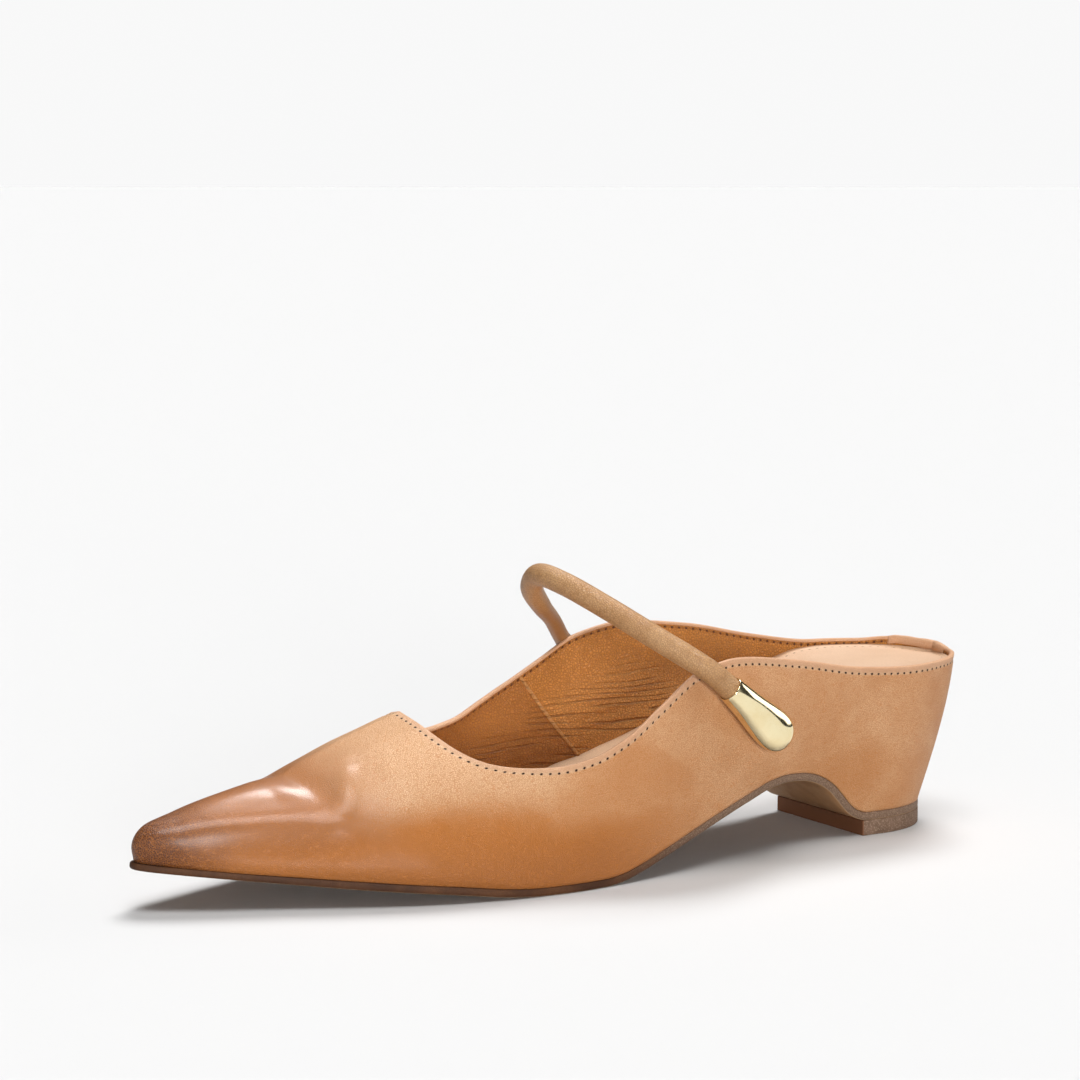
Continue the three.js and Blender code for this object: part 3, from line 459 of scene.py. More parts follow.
def skinMaterial():
    look = skinLook
    material, shader, spot, uv = startMaterial("tanSkin", look["roughness"])
    grain = grainOf(spot, look["grain"])
    cloud, small = cloudOf(spot, look["cloud"]), cloudOf(spot, look["smallCloud"])
    long, _, up = axesOf(spot)
    colour = blend(times(small, 0.6), look["tan"], look["pale"])
    # orange patina over the whole toe and in clouds on the heel; low along the ball the skin turns darker and
    # more orange towards the bottom
    low = times(rangeOf(scaled(cloud, 0.012, up), *look["lowDown"]), rangeOf(long, *look["pastArch"]))
    toe = rangeOf(scaled(cloud, 0.02, long), *look["toe"])
    cloudy = rangeOf(cloud, 0.4, 1.0, 0.0, 0.45)
    colour = blend(calc("MAXIMUM", cloudy, calc("MAXIMUM", low, toe)), colour, look["warm"])
    # amber: darker towards the bottom from the ball forward; on the upper toe partly its own deeper orange,
    # partly painted shade under the shoulder
    welt = times(rangeOf(long, *look["weltLong"]), rangeOf(up, *look["weltUp"]))
    colour = blend(calc("MAXIMUM", times(toe, rangeOf(up, *look["toeUp"])), welt), colour, look["amber"])
    instep = rangeOf(long, *look["instepFrom"])
    # painted light: the top of the vamp made a paler cream, where the light from above falls
    high = times(times(instep, rangeOf(long, *look["instepTo"])), rangeOf(up, *look["instepUp"]))
    colour = blend(high, colour, look["paintedLightCream"])
    tip = rangeOf(scaled(small, 0.005, long), *look["tip"])
    colour = blend(times(tip, scaled(rangeOf(up, *look["tipUp"]), 0.05, 0.95)), colour, look["burnish"])
    colour = blend(fadeOut(grain["Tone"], 0.25, 0.75, 0.6), colour, look["warm"])
    colour = blend(fadeOut(axesOf(uv)[1], 0.1, 0.16, 0.55), colour, look["rim"])
    stitch = place(stitchGroup, Map=uv, Long=0.044)
    colour = blend(times(stitch["Line"], 0.5), colour, look["thread"])
    # painted shade: the needle holes darkened
    colour = blend(stitch["Hole"], colour, look["hole"])
    # waxed shine on the toe above the welt, none in the holes
    shine = rangeOf(long, *look["shine"])
    gloss = times(times(shine, rangeOf(up, *look["shineUp"])), scaled(tip, -0.1, 1.0))
    gloss = times(calc("SUBTRACT", 1.0, stitch["Hole"]), scaled(gloss, 0.76, 0.06))
    rough = scaled(shine, -0.08, scaled(small, 0.07, look["roughness"]))
    feed(shader, {"Coat Weight": gloss, "Coat Roughness": look["coat"],
                  "Roughness": calc("MAXIMUM", rough, stitch["Hole"])})
    # pulled grain where the vamp bends
    fine = noise(turned(spot, (1.0, 0.3, 0.3)), 900.0)[0]
    pulled = times(instep, rangeOf(long, *look["pulledTo"]))
    pebble = times(grain["Height"], scaled(shine, -0.1, 1.1))
    height = scaled(stitch["Hole"], -3.0, scaled(fine, pulled, pebble))
    finishLook(shader, colour, height, *look["relief"])
    return material


liningLook = {
    "base": tint(192, 124, 50), "deep": tint(126, 66, 18), "pale": tint(216, 142, 62),
    "paintedLightPatch": tint(242, 172, 96), "seam": tint(206, 146, 84), "hole": tint(70, 36, 12),
    "grain": 1300.0, "cloud": 45.0, "breaks": 260.0, "relief": (0.9, 0.00045),
    "folds": {"Scale": 170.0, "Distortion": 9.0, "Detail": 2.5, "Detail Scale": 0.8},
    "seamSlope": -0.689, "seamAt": (-0.0354, -0.0344), "behind": (-0.055, -0.02, 1.0, 0.35),
}


def liningMaterial():
    look = liningLook
    material, shader, spot, uv = startMaterial("liningLeather", 0.52)
    grain, cloud = grainOf(spot, look["grain"]), cloudOf(spot, look["cloud"])
    wide = turned(spot, (0.2, 0.3, 1.0), (0.0, -0.14, 0.0))
    folds = addNode(spot.id_data, "ShaderNodeTexWave", {"Vector": wide, **look["folds"]}, bands_direction="Z")
    breaks = noise(wide, look["breaks"], 1.0)[0]
    fall = axesOf(uv)[1]
    lowDown = times(rangeOf(fall, 0.8, 2.2), rangeOf(cloud, 0.2, 0.8, 0.4, 1.0))
    line = times(rangeOf(folds.outputs["Fac"], 0.74, 0.98), rangeOf(breaks, 0.42, 0.56))
    wrinkle = times(line, scaled(lowDown, 0.95, 0.05))
    long, _, up = axesOf(spot)
    ahead = rangeOf(scaled(up, look["seamSlope"], long), *look["seamAt"])
    colour = blend(times(cloud, 0.6), look["base"], look["pale"])
    # painted shade: the lining darker in front of the seam line, deep inside the shoe
    colour = blend(times(ahead, 0.35), colour, look["deep"])
    # painted light: a paler patch on the wall behind the seam, away from the topline
    behind = calc("SUBTRACT", rangeOf(long, *look["behind"]), ahead, clamp=True)
    colour = blend(times(times(behind, rangeOf(fall, 0.7, 2.2)), 0.8), colour, look["paintedLightPatch"])
    # painted shade along the wrinkles
    colour = blend(times(wrinkle, 0.5), colour, look["deep"])
    colour = blend(fadeOut(grain["Tone"], 0.2, 0.75, 0.4), colour, look["deep"])
    stitch = place(stitchGroup, Map=uv, Depth=0.11)
    # painted shade: the needle holes darkened
    colour = blend(stitch["Hole"], colour, look["hole"])
    colour = blend(times(stitch["Line"], 0.4), colour, look["deep"])
    # painted highlight: the seam strips made paler
    colour = blend(rangeOf(fall, 8.0, 8.5), colour, look["seam"])
    height = scaled(wrinkle, -4.0, scaled(stitch["Hole"], -2.0, grain["Height"]))
    finishLook(shader, colour, height, *look["relief"])
    return material


insoleLook = {"base": tint(211, 172, 137), "pale": tint(217, 180, 147), "front": tint(250, 214, 178),
              "dot": tint(120, 76, 42), "grain": 1700.0, "cloud": 60.0, "ahead": (-0.06, -0.02)}


def insoleMaterial():
    look = insoleLook
    material, shader, spot, uv = startMaterial("insoleLeather", 0.5)
    grain = grainOf(spot, look["grain"])
    colour = blend(cloudOf(spot, look["cloud"]), look["base"], look["pale"])
    # painted light: the footbed paler towards the front, where walls and strap shade it
    colour = blend(rangeOf(axesOf(spot)[0], *look["ahead"]), colour, look["front"])
    colour = blend(fadeOut(grain["Tone"], 0.2, 0.7, 0.15), colour, look["dot"])
    hole = place(stitchGroup, Map=uv, Pitch=0.25, Depth=0.3)["Hole"]
    # painted shade: the pricked holes darkened
    colour = blend(times(hole, 0.85), colour, look["dot"])
    finishLook(shader, colour, scaled(hole, -3.0, grain["Height"]), 0.5, 0.0001)
    return material


soleLook = {"edge": tint(98, 62, 36), "dark": tint(68, 40, 22), "heel": tint(132, 106, 86),
            "under": tint(196, 150, 108), "scuff": tint(170, 124, 84), "line": tint(190, 160, 130),
            "speck": tint(160, 134, 112), "grain": 1500.0, "cloud": 90.0, "specks": 2400.0,
            "waist": (8.0, 13.0)}
dull = {"Specular IOR Level": 0.25}


def soleMaterial():
    look = soleLook
    material, shader, spot, uv = startMaterial("soleLeather", 0.6, dull)
    cloud, grain = cloudOf(spot, look["cloud"]), grainOf(spot, look["grain"])
    run, down, _ = axesOf(uv)
    waist = fadeOut(run, *look["waist"])
    edge = blend(times(waist, 0.95), blend(cloud, look["edge"], look["dark"]), look["heel"])
    specks = rangeOf(noise(spot, look["specks"])[0], 0.52, 0.62, 0.0, 0.6)
    edge = blend(times(waist, specks), edge, look["speck"])
    edge = blend(fadeOut(grain["Tone"], 0.25, 0.7, 0.4), edge, look["dark"])
    # painted highlight: a pale line along the sole's lower edge
    edge = blend(rangeOf(down, 0.4, 0.44), edge, look["line"])
    under = blend(cloud, look["under"], look["scuff"])
    finishLook(shader, blend(rangeOf(down, 0.5, 0.52), edge, under), grain["Height"], 0.6, 0.00012)
    return material


topPieceLook = {"base": tint(124, 98, 80), "dark": tint(106, 82, 65), "speck": tint(160, 134, 112),
                "face": tint(120, 78, 52), "cloud": 420.0, "faceAt": (-0.0866, -0.0862)}


def topPieceMaterial():
    look = topPieceLook
    material, shader, spot, _ = startMaterial("topPieceRubber", 0.7, dull)
    specks = noise(spot, soleLook["specks"])[0]
    colour = blend(cloudOf(spot, look["cloud"]), look["base"], look["dark"])
    colour = blend(rangeOf(specks, 0.52, 0.62, 0.0, 0.6), colour, look["speck"])
    colour = blend(rangeOf(axesOf(spot)[0], *look["faceAt"]), colour, look["face"])
    finishLook(shader, colour, specks, 0.5, 0.0001)
    return material


strapLook = {"base": tint(184, 138, 90), "deep": tint(138, 92, 50), "pale": tint(200, 156, 108),
             "grain": 1500.0, "cloud": 110.0, "innerLeg": (-0.024, -0.008, 0.55), "relief": (0.7, 0.00025)}


def strapMaterial():
    look = strapLook
    material, shader, spot, uv = startMaterial("strapLeather", 0.42)
    grain = grainOf(spot, look["grain"])
    folds = noise(turned(uv, (3.0, 1.5, 1.0)), 1.6)[0]
    colour = blend(cloudOf(spot, look["cloud"]), look["base"], look["pale"])
    # painted shade in the folds
    colour = blend(fadeOut(folds, 0.35, 0.5, 0.12), colour, look["deep"])
    # painted shade: the inner leg darker
    colour = blend(fadeOut(axesOf(spot)[1], *look["innerLeg"]), colour, look["deep"])
    colour = blend(fadeOut(grain["Tone"], 0.25, 0.75, 0.5), colour, look["deep"])
    finishLook(shader, colour, scaled(folds, 0.8, grain["Height"]), *look["relief"])
    return material


def goldMaterial():
    material, shader, spot, _ = startMaterial("paleGold", 0.1, {"Metallic": 1.0})
    feed(shader, {"Base Color": blend(cloudOf(spot, 200.0), tint(246, 232, 190), tint(240, 222, 176)),
                  "Roughness": rangeOf(noise(spot, 900.0)[0], 0.35, 0.7, 0.07, 0.15)})
    return material


def coreMaterial():
    material, shader, spot, _ = startMaterial("wedgeCore", 0.8)
    cloud = cloudOf(spot, 300.0)
    finishLook(shader, blend(cloud, tint(170, 146, 110), tint(150, 124, 90)), cloud, 0.3, 0.0002)
    return material


skin, lining, insoleLeather = skinMaterial(), liningMaterial(), insoleMaterial()
soleLeather, topPieceRubber, strapLeather = soleMaterial(), topPieceMaterial(), strapMaterial()
paleGold, wedgeCore = goldMaterial(), coreMaterial()
print("materials ready")

# Main creases, in mm of the shoe's own sizes: line of points, half width, depth (minus is a ridge)
creases = [
    {"line": [(207, -12, 29.5), (204.5, -4, 32), (202.3, 5.4, 31.2), (199.7, 11.8, 29.4),
              (197.6, 16.6, 26.6)], "wide": 3.8, "deep": 1.05},  # fold across the vamp
    {"line": [(190.6, 8, 34.3), (193.2, 14.5, 31), (195.6, 18.3, 27.4), (198.4, 21, 23)],
     "wide": 3.8, "deep": -1.2},  # puff behind the fold
    {"line": [(246, -3.2, 17.2), (241, -0.4, 19.2), (236, 1.8, 20.2), (222.8, 7.3, 21.8), (213.1, 11.2, 22.8),
              (205.9, 14.6, 23.2), (200, 18.4, 22.6)], "wide": 3.6, "deep": -0.95},  # shoulder of the toe
    {"line": [(236, -0.8, 21.2), (226, 0.6, 25), (217, 1.6, 27.6), (209, 2.4, 29.8)],
     "wide": 7, "deep": -1.1},  # crown of the toe
    {"line": [(240, 2.4, 14.6), (231, 7.4, 15), (219.4, 12.4, 16), (208.3, 18, 16), (199.4, 23, 15),
              (194, 26.6, 13)], "wide": 4.2, "deep": 0.2},  # flat side under the shoulder
    {"line": [(200, 20.5, 21.5), (194, 25.6, 15.5)], "wide": 4.5, "deep": 0.25},
    {"line": [(187, 12, 34.5), (184.5, 20, 30), (183.5, 26, 24.5)], "wide": 4.5, "deep": 0.35},
    {"line": [(180, 31, 18), (170, 33.6, 18.4), (160, 35.4, 18)], "wide": 5, "deep": 0.4},
    {"line": [(104, 34, 38), (98, 32.6, 33)], "wide": 5, "deep": 0.3},
]
liningCreases = [  # low in the lining of the inner side, and again on the outer side
    [(122, -31.3, 27.5), (112, -31, 27.8), (103, -28.9, 28.6)],
    [(121, -31, 23), (112, -30.6, 25), (103, -28.6, 26.4)],
    [(119, -30.7, 20), (112, -30.2, 21.8), (104, -28.6, 24)],
    [(110, -29.6, 20.5), (100.9, -27.6, 23.3)],
    [(98, -27.8, 28.8), (90, -25.8, 29.5), (81, -24.3, 31.8)],
    [(96, -27.6, 31.4), (89, -26.6, 33.2), (77, -24.7, 35.8)],
    [(94, -27.5, 35.3), (84, -26, 37.5), (70, -24.4, 40)],
]


def pressCreases(points, normals, lines):
    moved = points.copy()
    for crease in lines:
        path = np.array(crease["line"], float)
        best = np.full(points.shape[:2], 1e9)
        share = np.zeros(points.shape[:2])
        for k in range(len(path) - 1):
            a, b = path[k], path[k + 1]
            t = np.clip(((points - a) @ (b - a)) / ((b - a) @ (b - a)), 0, 1)
            d = np.linalg.norm(points - (a + t[..., None] * (b - a)), axis=-1)
            share = np.where(d < best, (k + t) / (len(path) - 1), share)
            best = np.minimum(best, d)
        fade = np.sin(np.pi * np.clip(share, 0.06, 0.94)) ** 0.6
        moved -= normals * (crease["deep"] * fade * np.exp(-((best / crease["wide"]) ** 2)))[..., None]
    return moved


upperMesh = {"stations": 176, "rows": 84, "liningRows": 90, "lip": 0.45, "rim": 0.5, "rimWall": 1.5,
             "skinThick": 0.8, "noseTuck": 1.1, "tuckFrom": (222, 245), "tuckHeight": 9.0,
             "channel": 0.16, "channelAt": 1.5, "channelWide": 0.55}


def drop(lines):
    far = runsOf(lines)
    return far[:, -1:] - far


# Skin's outside with the nose tucked in over the sole and the creases pressed
def creasedSkin(rows):
    lines = wholeSkin(upperMesh["stations"], np.linspace(0, 1, rows + 1))
    normals = outward(lines)
    level = unit(normals[:, 0] * (1, 1, 0))
    height = lines[..., 2] - lines[:, :1, 2]
    tuck = upperMesh["noseTuck"] * ease(lines[:, :1, 0], *upperMesh["tuckFrom"])
    tuck = tuck * np.maximum(0, 1 - height / upperMesh["tuckHeight"]) ** 2
    return pressCreases(lines - level[:, None] * tuck[..., None], normals, creases), normals, drop(lines)


# Upper: outer skin, folded over the topline and down inside by a narrow lip
shell, shellNormals, fromTop = creasedSkin(upperMesh["rows"])
run = topRun(shell)
topNormal, top = shellNormals[:, -1], shell[:, -1]
up = unit(top - shell[:, -3])
fromChannel = (fromTop - upperMesh["channelAt"]) / upperMesh["channelWide"]
shell -= shellNormals * (upperMesh["channel"] * np.exp(-(fromChannel**2)))[..., None]


def rimPoint(offset, rise):
    return (top - topNormal * offset + up * rise)[:, None]


def wrapUv(down, columns):
    uv = np.stack([np.repeat(run[:-1, None], columns, 1), down], -1) / 10
    uv = np.concatenate([uv, uv[:1] + (run[-1] / 10, 0)])
    return np.concatenate([uv, uv[:, :1]], axis=1)


def skinShell():
    half = upperMesh["rimWall"] / 2
    turns = np.linspace(0, math.pi, 9)[1:]
    rim = [rimPoint(half - half * math.cos(a), upperMesh["rim"] * math.sin(a)) for a in turns]
    lip = [rimPoint(2 * half, -d) for d in (0.25, upperMesh["lip"])]
    back = sunk(shell, shellNormals, upperMesh["skinThick"])
    hidden = [rimPoint(upperMesh["skinThick"], -upperMesh["lip"] - 0.1)]
    hidden += [back[:, [j]] for j in range(upperMesh["rows"] - 8, -1, -4)]
    outer = shell.copy()
    outer[:, 0, 2] -= form["gap"] * 0.8
    hidden[-1] = hidden[-1] - (0, 0, form["gap"] * 0.8)
    points = np.concatenate([outer] + rim + lip + hidden, axis=1)
    falls = [-0.3] * len(rim) + [-0.5, -0.7] + [-3.0] * len(hidden)
    down = np.concatenate([fromTop] + [np.full((len(shell), 1), v) for v in falls], axis=1)
    return surfacePiece("upper_skin", points, wrapUv(down, points.shape[1]), closedAround=True)


def liningShell():
    rows = upperMesh["liningRows"]
    inner, normals, fall = creasedSkin(rows)
    wall = upperMesh["rimWall"] + (form["wall"] - 0.08 - upperMesh["rimWall"]) * ease(fall, 0, 9)
    face = sunk(inner, normals, wall)
    mirrored = [[(x - 3, -y * 1.06, z + 1) for x, y, z in line] for line in liningCreases]
    both = [line for pair in zip(liningCreases, mirrored) for line in pair]
    face = pressCreases(face, normals, [{"line": line, "wide": 1.1, "deep": -0.42} for line in both])
    back = sunk(inner, normals, upperMesh["skinThick"] + 0.1)
    kept = range(rows - 2, -1, -1)
    hidden = [back[:, [j]] for j in range(0, rows - 4, 4)]
    first = rimPoint(upperMesh["rimWall"] - 0.1, -upperMesh["lip"] + 0.15)
    last = rimPoint(upperMesh["skinThick"] + 0.1, -upperMesh["lip"] + 0.05)
    points = np.concatenate([first] + [face[:, [j]] for j in kept] + hidden + [last], axis=1)
    down = np.concatenate([np.full((len(inner), 1), 0.3)] + [fall[:, [j]] for j in kept]
                          + [np.full((len(inner), 1), 60.0)] * (len(hidden) + 1), axis=1)
    piece = surfacePiece("upper_lining", points, wrapUv(down, points.shape[1]), closedAround=True)
    return piece, face, normals


upperSkin = dress(skinShell(), skin, "upper_leather", "upper")
liningPiece, liningFace, liningNormals = liningShell()
dress(liningPiece, lining, "upper_leather", "upper")
print("upper made", len(upperSkin.data.polygons), len(liningPiece.data.polygons))

seamForm = {"high": (113.6, 46.1), "low": (97.0, 22.0), "wide": 0.42, "sides": 8}


# Overlap of the vamp lining on the quarter lining, as a thin ridge down each wall
def makeLiningSeam(name, first, last):
    (xHigh, zHigh), (xLow, zLow) = seamForm["high"], seamForm["low"]
    path, outs = [], []
    for j in range(liningFace.shape[1] - 2, 0, -1):
        x, z = liningFace[first:last, j, 0], liningFace[first:last, j, 2]
        over = x - (xLow + (xHigh - xLow) * (z - zLow) / (zHigh - zLow))
        cross = np.nonzero(over[:-1] * over[1:] <= 0)[0]
        if not len(cross) or z[cross[0]] < zLow - 3:
            continue
        k, t = cross[0], over[cross[0]] / (over[cross[0]] - over[cross[0] + 1])
        path.append(liningFace[first + k, j] * (1 - t) + liningFace[first + k + 1, j] * t)
        outs.append(liningNormals[first + k, j])
    path, outs = np.array(path), np.array(outs)
    along = unit(np.gradient(path, axis=0))
    side = np.cross(along, outs)
    turns = np.linspace(0, 2 * math.pi, seamForm["sides"], endpoint=False)
    size = np.full(len(path), seamForm["wide"])
    size[[0, -1]] = 0.02
    ring = side[:, None] * np.cos(turns)[None, :, None] * 1.2 + outs[:, None] * np.sin(turns)[None, :, None]
    points = path[:, None] + ring * size[:, None, None]
    uv = np.zeros((len(path), seamForm["sides"] + 1, 2)) + 9
    dress(surfacePiece(name, points, uv), lining, "upper_leather", "upper")


makeLiningSeam("lining_seam_outer", 0, upperMesh["stations"])
makeLiningSeam("lining_seam_inner", upperMesh["stations"], 2 * upperMesh["stations"])

insoleForm = {"across": 30, "cup": 0.9, "thick": 2.0,
              "archRise": [(50, 0), (60, 0.3), (74, 1.1), (84.5, 1.8), (90.6, 2.4), (97, 2.8),
                           (105.5, 3.9), (115, 3.6), (130, 2), (145, 0.5), (160, 0)]}


def archRise(x):
    return readCurve(insoleForm["archRise"], 1, np.clip(x, 50, 160))


# Insole: its edge is where the lining crosses the footbed's own slope, raised under the arch
def makeInsole():
    count = upperMesh["stations"]
    bed = insoleTop(np.clip(liningFace[..., 0], -25, form["length"]))
    bed[count:] += archRise(liningFace[count:, :, 0])
    level = liningFace[..., 2] - bed
    edge = []
    for line, gap in zip(liningFace, level):
        j = int(np.argmax(gap > 0))
        t = gap[j - 1] / (gap[j - 1] - gap[j]) if j else 0.0
        edge.append(line[j - 1] * (1 - t) + line[j] * t if j else line[0])
    edge = np.array(edge)
    outer = edge[:count + 1]
    inner = np.array([edge[(2 * count - k) % (2 * count)] for k in range(count + 1)])
    v = np.linspace(0, 1, insoleForm["across"] + 1)[None, :, None]
    topFace = outer[:, None] * (1 - v) + inner[:, None] * v
    x = topFace[..., 0]
    across = v[..., 0]
    cup = insoleForm["cup"] * np.abs(2 * across - 1) ** 4 * (1 - ease(x, 20, 60))
    arch = archRise(x) * np.maximum(0, (across - 0.5) / 0.5) ** 2
    topFace[..., 2] = insoleTop(np.clip(x, -25, form["length"])) + cup + arch
    under = topFace[:, [-1, 0]] - (0, 0, insoleForm["thick"])
    points = np.concatenate([topFace, under], axis=1)
    width = np.linalg.norm(outer - inner, axis=1)[:, None]
    side = np.minimum(v[0, :, 0], 1 - v[0, :, 0])[None] * width
    side = np.where(x < 45, side, 0.0)
    alongRun = runsOf(outer[None])[0][:, None]
    fall = np.concatenate([side, np.zeros((len(outer), 2))], axis=1)
    uv = np.stack([np.repeat(alongRun, points.shape[1], 1), fall], -1) / 10
    return surfacePiece("insole_cover", points, np.concatenate([uv, uv[:, :1]], axis=1))


dress(makeInsole(), insoleLeather, "insole_leather", "insole")

soleForm = {"stations": 200, "across": 10,
            "edge": [(0.0, 0.22), (0.12, 0.04), (0.35, 0.0), (0.62, 0.0), (0.84, 0.14), (0.96, 0.4),
                     (1.0, 0.7)]}


# Outsole: one strip in sections, dressed round at its edge
def makeOutsole():
    xs = stationPlaces(soleForm["stations"])
    rise = (soleTop(xs + 0.4) - soleTop(xs - 0.4)) / 0.8
    long = np.hypot(1, rise)
    thin = 1 - 0.2 * ease(xs, 190, 240)
    meet = 1 - ease(xs, 26, 34)

    def spot(side, depth, inset):
        inset = inset * (1 - 0.7 * meet) if depth > 0.5 else np.full_like(xs, inset)
        inset = inset[:, None]
        depth = depth * form["soleThick"] * thin
        edge = edgeNormal(side, xs)
        y = footLine(xs) + side["sign"] * halfWidth(side, xs)
        place = np.stack([xs + depth * rise / long, y, soleTop(xs) - depth / long], -1)
        return place - edge * inset

    rows, uvs = [], []
    n = soleForm["across"]
    upper = [spot(innerSide, 0, 0.22), spot(outerSide, 0, 0.22)]
    lower = [spot(outerSide, 1, 0.7), spot(innerSide, 1, 0.7)]
    for k in range(n):
        rows.append(upper[0] + (upper[1] - upper[0]) * k / n)
        uvs.append(0.0)
    for depth, inset in soleForm["edge"][:-1]:
        rows.append(spot(outerSide, depth, inset))
        uvs.append(depth * 0.45)
    for k in range(n):
        rows.append(lower[0] + (lower[1] - lower[0]) * k / n)
        uvs.append(1.0)
    for depth, inset in soleForm["edge"][::-1][:-1]:
        rows.append(spot(innerSide, depth, inset))
        uvs.append(1.0 if depth == 1 else depth * 0.45)
    points = np.stack(rows, 1)
    down = np.repeat(np.array(uvs)[None], len(xs), 0)
    uv = np.stack([np.repeat(xs[:, None] / 10, len(rows), 1), down], -1)
    return surfacePiece("outsole_strip", points, np.concatenate([uv, uv[:, :1]], axis=1))


dress(makeOutsole(), soleLeather, "sole_leather", "outsole")

topPieceForm = {"segments": 40, "bevel": 0.22}


# Top piece: D-shaped plate under the heel
def makeTopPiece():
    turns = np.linspace(0, math.pi / 2, topPieceForm["segments"])
    xs = np.append(form["heelCurve"] * (1 - np.cos(turns)), form["heelBreast"])
    outline = [(x, footLine(x) + halfWidth(outerSide, x)) for x in xs]
    outline += [(x, footLine(x) - halfWidth(innerSide, x)) for x in xs[1:][::-1]]
    bm = bmesh.new()
    bmesh.ops.create_circle(bm, cap_ends=True, segments=len(outline), radius=1)
    ring = sorted(bm.verts, key=lambda v: math.atan2(v.co.y, v.co.x))
    for v, (x, y) in zip(ring, outline):
        v.co = Vector((np.array((x, y, 0.0)) + shoeStart) / 1000)
    raised = bmesh.ops.extrude_face_region(bm, geom=bm.faces[:])
    bmesh.ops.translate(bm, verts=[v for v in raised["geom"] if isinstance(v, bmesh.types.BMVert)],
                        vec=(0, 0, (form["topPiece"] + form["gap"] * 0.9) / 1000))
    bmesh.ops.recalc_face_normals(bm, faces=bm.faces)
    sharp = [e for e in bm.edges if e.calc_face_angle(0) > 0.9]
    bmesh.ops.bevel(bm, geom=sharp, offset=topPieceForm["bevel"] / 1000, offset_type="OFFSET",
                    affect="EDGES", segments=2, profile=0.5, material=-1, clamp_overlap=True)
    for face in bm.faces:
        face.smooth = abs(face.normal.z) < 0.5 and face.normal.x < 0.9
    return finishPiece("heel_top_piece", bm)


dress(makeTopPiece(), topPieceRubber, "top_piece", "top_piece")
print("sole, heel and insole made")

capForm = {"length": 26.6, "width": 11.8, "drop": 38.8, "place": 87.0, "forward": 3.4, "mouth": 49.2,
           "flat": 0.34, "sink": 2.3, "steps": 56,
           "shape": [(0.0, 0.0), (0.0, 0.54), (-0.02, 0.565), (-0.03, 0.59), (-0.026, 0.62), (0.01, 0.645),
                     (0.1, 0.685), (0.2, 0.73), (0.3, 0.78), (0.4, 0.84), (0.5, 0.905), (0.6, 0.965),
                     (0.68, 0.995), (0.74, 1.0), (0.8, 0.975), (0.86, 0.91), (0.91, 0.8), (0.95, 0.64),
                     (0.98, 0.43), (0.995, 0.2), (1.0, 0.0)]}


def skinReach(side, x, z):
    lines = skinLines(side, np.linspace(x - 12, x + 12, 25), np.linspace(0, 1, 25)).reshape(-1, 3)
    far = np.hypot(lines[:, 0] - x, lines[:, 2] - z)
    return abs(lines[int(np.argmin(far)), 1])


def capLine(side, forward):
    slope = math.radians(capForm["drop"])

    def spot(share, clear):
        x = capForm["place"] + forward - capForm["length"] * share * math.cos(slope)
        z = capForm["mouth"] - capForm["length"] * share * math.sin(slope)
        return x, z, skinReach(side, x, z) + clear

    mouth = spot(0, capForm["width"] / 2 * 0.68 + 0.6)
    belly = spot(0.72, capForm["width"] / 2 + 0.6)
    tip = spot(1, 0)
    reach = mouth[2] + (belly[2] - mouth[2]) / 0.72
    return (np.array([mouth[0], side["sign"] * mouth[2], mouth[1]]),
            np.array([tip[0], side["sign"] * reach, tip[1]]))


def makeCap(name, line):
    start, end = line
    bm = bmesh.new()
    profile = [bm.verts.new((out * capForm["width"] / 2000, 0, at * capForm["length"] / 1000))
               for at, out in capForm["shape"]]
    edges = [bm.edges.new(pair) for pair in zip(profile, profile[1:])]
    bmesh.ops.spin(bm, geom=profile + edges, cent=(0, 0, 0), axis=(0, 0, 1), angle=2 * math.pi,
                   steps=capForm["steps"], use_merge=True)
    bmesh.ops.remove_doubles(bm, verts=bm.verts, dist=2e-6)
    bmesh.ops.dissolve_degenerate(bm, edges=bm.edges, dist=1e-7)
    way = Vector(end - start).normalized()
    out = Vector((0, math.copysign(1, start[1]), 0))
    out = (out - way * out.dot(way)).normalized()
    wide = way.cross(out)
    for v in bm.verts:
        less = float(ease(v.co.z * 1000 / capForm["length"], 0.0, 0.75))
        lift = v.co.y * (1 - capForm["flat"] * less) - capForm["sink"] * less / 1000
        v.co = wide * v.co.x + out * lift + way * v.co.z
    bmesh.ops.translate(bm, verts=bm.verts, vec=Vector((start + shoeStart) / 1000))
    bmesh.ops.recalc_face_normals(bm, faces=bm.faces)
    for face in bm.faces:
        face.smooth = True
    piece = finishPiece(name, bm)
    rounder = piece.modifiers.new("round", "SUBSURF")
    rounder.levels = rounder.render_levels = 1
    return piece


outerCap, innerCap = capLine(outerSide, 0.0), capLine(innerSide, capForm["forward"])
dress(makeCap("cap_outer", outerCap), paleGold, "cap_metal", "cap_lateral")
dress(makeCap("cap_inner", innerCap), paleGold, "cap_metal", "cap_medial")

strapForm = {"width": 6.4, "peak": 79.0, "rings": 200, "sides": 32, "slim": 0.25}


